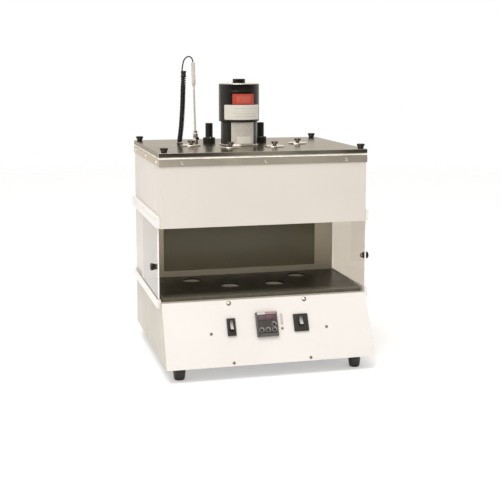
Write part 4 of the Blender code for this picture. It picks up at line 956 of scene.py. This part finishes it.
screws("motor_top_screws", [((MOTOR[0] + 0.030 * math.cos(a), MOTOR[1] + 0.030 * math.sin(a), 0.5588), (0, 0, 1), a) for a in (0.7, 2.27, 3.84, 5.41)], 0.0028, 0.0012, ZINC, "lid_assembly")


def wrap_label(name, half_angle, z0, z1, radius, mat, corner, depth=(0.00005, 0.00020), middle=0.0):
    """A thin label laid round the motor: a rounded plate bent to the radius, its middle at an angle from the front."""
    w = radius * math.radians(half_angle)
    bm = plate([(-w, z0), (w, z0), (w, z1), (-w, z1)], *sorted((-depth[0], -depth[1])), 1, corner, 6)
    cuts = int(2 * w / 0.0015)
    for k in range(1, cuts):
        x = -w + 2 * w * k / cuts
        bmesh.ops.bisect_plane(bm, geom=bm.verts[:] + bm.edges[:] + bm.faces[:], plane_co=(x, 0, 0), plane_no=(1, 0, 0))
    for v in bm.verts:
        a = v.co.x / radius + math.radians(middle)
        r = radius - v.co.y
        v.co.x, v.co.y = MOTOR[0] + r * math.sin(a), MOTOR[1] - r * math.cos(a)
    return piece(name, bm, mat, "lid_assembly", sharp=25)


wrap_label("motor_label_white", 59, 0.4845, 0.5150, 0.0421, LABEL_WHITE, 0.0030)
wrap_label("motor_label_red", 32, 0.5160, 0.5375, 0.0421, LABEL_RED, 0.0008)
wrap_label("motor_label_red_panel", 21, 0.5200, 0.5335, 0.0421, LABEL_ORANGE, 0.0020, (0.00022, 0.00027))
wrap_label("motor_label_silver", 38.5, 0.4340, 0.4788, 0.0378, LABEL_SILVER, 0.0008)
wrap_label("motor_label_silver_panel", 24, 0.4365, 0.4500, 0.0378, LABEL_WHITE, 0.0006, (0.00022, 0.00027), 3)
for k, z_ in enumerate((0.4600, 0.4650, 0.4700)):
    wrap_label(f"motor_label_rule_{k + 1}", 30, z_ - 0.00025, z_ + 0.00025, 0.0378, LABEL_GREY, 0.0001, (0.00022, 0.00026), 2)
for k, z_ in enumerate((0.4910, 0.4970, 0.5080)):
    wrap_label(f"motor_label_white_rule_{k + 1}", 34, z_ - 0.00025, z_ + 0.00025, 0.0421, LABEL_GREY, 0.0001, (0.00022, 0.00026), 6)

# stirrer shaft with its propeller
shaft = spun([(0, 0.4500), (0.0034, 0.4500), (0.0040, 0.4494), (0.0040, 0.3500), (0.0075, 0.3490), (0.0075, 0.3360), (0.0060, 0.3340), (0, 0.3340)], (*MOTOR, 0), steps=48, soften=0.0004)
for k in range(3):
    blade = box((0.0050, -0.0075, -0.0009), (0.0250, 0.0075, 0.0009), 0.0060, 5, 2)
    blade.transform(Matrix.Translation((*MOTOR, 0.3425)) @ Matrix.Rotation(k * math.tau / 3, 4, "Z") @ Matrix.Rotation(math.radians(32), 4, "X"))
    shaft = join(shaft, blade)
piece("propeller_shaft", shaft, TANK_STEEL, "stirrer", "stirrer_shaft", bevel=0.00025, segments=2, angle=40)

for side_, (x, y) in HEATERS.items():
    head = spun([(0, 0.4725), (0.0070, 0.4725), (0.0079, 0.4715), (0.0079, 0.4420), (0.0122, 0.4417), (0.0132, 0.4407), (0.0132, ON_LID), (0.0071, ON_LID), (0.0071, 0.4220), (0, 0.4220)],
                (x, y, 0), steps=80, soften=0.0007, indices=lambda r, z: 1 if z < 0.4309 else 0)
    path = [(-0.0040, 0.4300), (-0.0040, 0.4180), (-0.0052, 0.4130), (-0.0120, 0.4020), (-0.0165, 0.3940), (-0.0180, 0.3860), (-0.0180, 0.3400)]
    arc = [(0.018 * math.cos(a), 0.340 + 0.018 * math.sin(a)) for a in [math.pi + math.pi * j / 16 for j in range(1, 16)]]
    path = path + arc + [(-a, b) for a, b in reversed(path)]
    data = bpy.data.curves.new("element", "CURVE")
    data.dimensions, data.bevel_depth, data.bevel_resolution, data.use_fill_caps = "3D", 0.0029, 5, True
    sp = data.splines.new("POLY")
    sp.points.add(len(path) - 1)
    for p, (a, b) in zip(sp.points, path):
        p.co = (x + a, y, b, 1)
    o = bpy.data.objects.new("element", data)
    scene.collection.objects.link(o)
    mesh = bpy.data.meshes.new_from_object(o.evaluated_get(bpy.context.evaluated_depsgraph_get()))
    bpy.data.objects.remove(o, do_unlink=True)
    element = bmesh.new()
    element.from_mesh(mesh)
    bmesh.ops.remove_doubles(element, verts=element.verts, dist=1e-6)
    for f in element.faces:
        f.smooth = True
    absorb(head, element, 1)
    piece("heater_cap_" + side_, head, [CAP_BLACK, TANK_STEEL], "lid_assembly", "immersion_heater_" + side_)
    screws("heater_cap_screws_" + side_, [((x + 0.0104 * math.cos(a), y + 0.0104 * math.sin(a), 0.4416), (0, 0, 1), a) for a in (-1.57, 1.57)], 0.0015, 0.0009, BRIGHT_STEEL, "lid_assembly", "slot")

gland = spun([(0.0046, 0.4556), (0.0048, 0.4500), (0.0058, 0.4490), (0.0058, 0.4410), (0.0044, 0.4404), (0.0044, 0.4366), (0.0064, 0.4360), (0.0064, ON_LID),
              (0.0046, ON_LID), (0.0046, 0.4245), (0.0033, 0.4245), (0.0033, 0.4556)], (*PROBE, 0), steps=64, closed=True, soften=0.0004)
piece("probe_gland_body", gland, BRIGHT_STEEL, "lid_assembly", "probe_gland")
setscrew = spun([(0, 0.0075), (0.0030, 0.0075), (0.0033, 0.0072), (0.0033, 0.0034), (0.0016, 0.0030), (0.0016, 0.0), (0, 0.0)], steps=40, soften=0.0003)
setscrew.transform(facing((PROBE[0] + 0.0012, PROBE[1] - 0.0046, 0.4392), (0.22, -0.97, 0)))
piece("probe_set_screw", setscrew, KNOB_BLACK, "lid_assembly")
probe = spun([(0, 0.1707), (0.0028, 0.1707), (0.0040, 0.1699), (0.0042, 0.1688), (0.0042, 0.1266), (0.0025, 0.1202), (0.0023, 0.1190), (0.0023, -0.0930), (0.0012, -0.0950), (0, -0.0950)],
             steps=48, soften=0.0008, indices=lambda r, z: 1 if z > 0.1196 else 0)
probe.transform(Matrix.Translation((*PROBE, LID_TOP)) @ Matrix.Rotation(-math.atan(PROBE_LEAN), 4, "Y"))
piece("probe_stem", probe, [PROBE_STEEL, PROBE_GRIP], "lid_assembly", "temperature_probe")

# the lead's sleeve, and a bush where it leaves the lid
top = Vector(COIL[-1])
along = (top - Vector(COIL[-2])).normalized()
sleeve = spun([(0.0, 0.0), (0.0044, 0.0), (0.0054, -0.0004), (0.0057, -0.0014), (0.0057, -0.0030), (0.0051, -0.0036), (0.0049, -0.0042), (0.0049, -0.0088), (0.0051, -0.0094), (0.0057, -0.0100),
               (0.0057, -0.0122), (0.0053, -0.0130), (0.0, -0.0130)], steps=56, soften=0.0004)
sleeve.transform(facing(top + along * -0.0003, along))
piece("lead_sleeve", sleeve, SLEEVE, "lid_assembly")
bush = spun([(0, 0.4322), (0.0060, 0.4322), (0.0066, 0.4318), (0.0066, ON_LID), (0, ON_LID)], (COIL[0][0], COIL[0][1], 0), steps=56, soften=0.0003)
piece("lead_bush", bush, SLEEVE, "lid_assembly")

# ------------------------------------------------------------------- stage and light
floor_mat = Mat("studio_floor", (0.80, 0.795, 0.79), 0.75)
floor_mat.blend(floor_mat.span(floor_mat.noise(0.8, 3, 0.5), 0.3, 0.7, 0, 1), (0.795, 0.79, 0.785), (0.805, 0.80, 0.795))
floor_mat.b.inputs["Emission Color"].default_value = (1, 1, 1, 1)
floor_mat.b.inputs["Emission Strength"].default_value = 0.27
away_ = floor_mat.new("ShaderNodeVectorMath", operation="LENGTH")
floor_mat.link(floor_mat.tc.outputs["Object"], away_.inputs[0])
floor_mat.link(floor_mat.span(away_.outputs["Value"], 2.0, 4.1, 1.0, 0.0), floor_mat.b.inputs["Alpha"])
fl = bmesh.new()
bmesh.ops.create_circle(fl, cap_ends=True, radius=4.2, segments=96)
mesh = bpy.data.meshes.new("studio_floor")
fl.to_mesh(mesh)
fl.free()
mesh.materials.append(floor_mat.m)
floor = bpy.data.objects.new("studio_floor", mesh)
scene.collection.objects.link(floor)
floor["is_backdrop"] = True

world = bpy.data.worlds.new("studio")
scene.world = world
world.use_nodes = True
wt = world.node_tree
bg = wt.nodes["Background"]
bg.inputs["Color"].default_value = (1.0, 0.985, 0.965, 1)
bg.inputs["Strength"].default_value = 0.80


def wnode(kind, *inputs, **values):
    node = wt.nodes.new(kind)
    for k, v in values.items():
        setattr(node, k, v)
    for k, v in enumerate(inputs):
        if v is None:
            continue
        if hasattr(v, "is_linked"):
            wt.links.new(v, node.inputs[k])
        else:
            node.inputs[k].default_value = v
    return node.outputs[0]


def wmath(op, *inputs):
    return wnode("ShaderNodeMath", *inputs, operation=op)


def wramp(value, a, b, low, high):
    node = wt.nodes.new("ShaderNodeMapRange")
    node.interpolation_type = "SMOOTHSTEP"
    for k, v in ((0, value), (1, a), (2, b), (3, low), (4, high)):
        if hasattr(v, "is_linked"):
            wt.links.new(v, node.inputs[k])
        else:
            node.inputs[k].default_value = v
    return node.outputs[0]


# what shiny surfaces see: a bright room that is dim low down in front of the object, with a tall window and a soft box
sky = wt.nodes.new("ShaderNodeTexCoord")
parts_ = wt.nodes.new("ShaderNodeSeparateXYZ")
wt.links.new(sky.outputs["Generated"], parts_.inputs[0])
X, Y, Z = parts_.outputs
ahead = wmath("MULTIPLY", wramp(Y, 0.15, -0.75, 0.0, 1.0), wramp(Z, 0.62, 0.18, 0.0, 1.0))
room = wmath("SUBTRACT", 1.0, wmath("MULTIPLY", ahead, 0.95))
azimuth = wmath("ARCTAN2", X, wmath("MULTIPLY", Y, -1.0))
window = wmath("MULTIPLY", wmath("MULTIPLY", wramp(azimuth, 0.205, 0.262, 0.0, 1.0), wramp(azimuth, 0.298, 0.291, 0.0, 1.0)), 0.34)
window = wmath("ADD", window, wmath("MULTIPLY", wmath("MULTIPLY", wramp(azimuth, 0.300, 0.322, 0.0, 1.0), wramp(azimuth, 0.345, 0.332, 0.0, 1.0)), 0.22))
window = wmath("MULTIPLY", window, wramp(Z, 0.5, 0.2, 0.0, 1.0))
soft = wmath("MULTIPLY", wramp(wmath("ADD", wmath("ADD", wmath("MULTIPLY", X, -0.58), wmath("MULTIPLY", Y, -0.52)), wmath("MULTIPLY", Z, 0.627)), 0.955, 0.975, 0.0, 1.0), 5.0)
gloss = wt.nodes.new("ShaderNodeBackground")
gloss.inputs["Color"].default_value = (1.0, 0.955, 0.89, 1)
wt.links.new(wmath("ADD", wmath("ADD", room, window), soft), gloss.inputs["Strength"])
seen = wt.nodes.new("ShaderNodeBackground")
seen.inputs["Color"].default_value = (1, 1, 1, 1)
seen.inputs["Strength"].default_value = 1.0
path_ = wt.nodes.new("ShaderNodeLightPath")
mix1 = wt.nodes.new("ShaderNodeMixShader")
wt.links.new(path_.outputs["Is Glossy Ray"], mix1.inputs[0])
wt.links.new(bg.outputs[0], mix1.inputs[1])
wt.links.new(gloss.outputs[0], mix1.inputs[2])
mix = wt.nodes.new("ShaderNodeMixShader")
wt.links.new(path_.outputs["Is Camera Ray"], mix.inputs[0])
wt.links.new(mix1.outputs[0], mix.inputs[1])
wt.links.new(seen.outputs[0], mix.inputs[2])
wt.links.new(mix.outputs[0], wt.nodes["World Output"].inputs["Surface"])


def area(name, at, target, size, power, colour=(1, 1, 1)):
    data = bpy.data.lights.new(name, "AREA")
    data.shape, data.size, data.size_y, data.energy, data.color = "RECTANGLE", size[0], size[1], power, colour
    o = bpy.data.objects.new(name, data)
    o.location = at
    o.rotation_mode = "QUATERNION"
    o.rotation_quaternion = (Vector(target) - Vector(at)).to_track_quat("-Z", "Y")
    scene.collection.objects.link(o)
    return o


area("key", (-0.7, -1.0, 2.7), (0, 0, 0.25), (1.6, 1.6), 54, (1, 0.985, 0.96))

# ------------------------------------------------------------------- the end
lo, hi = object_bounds()
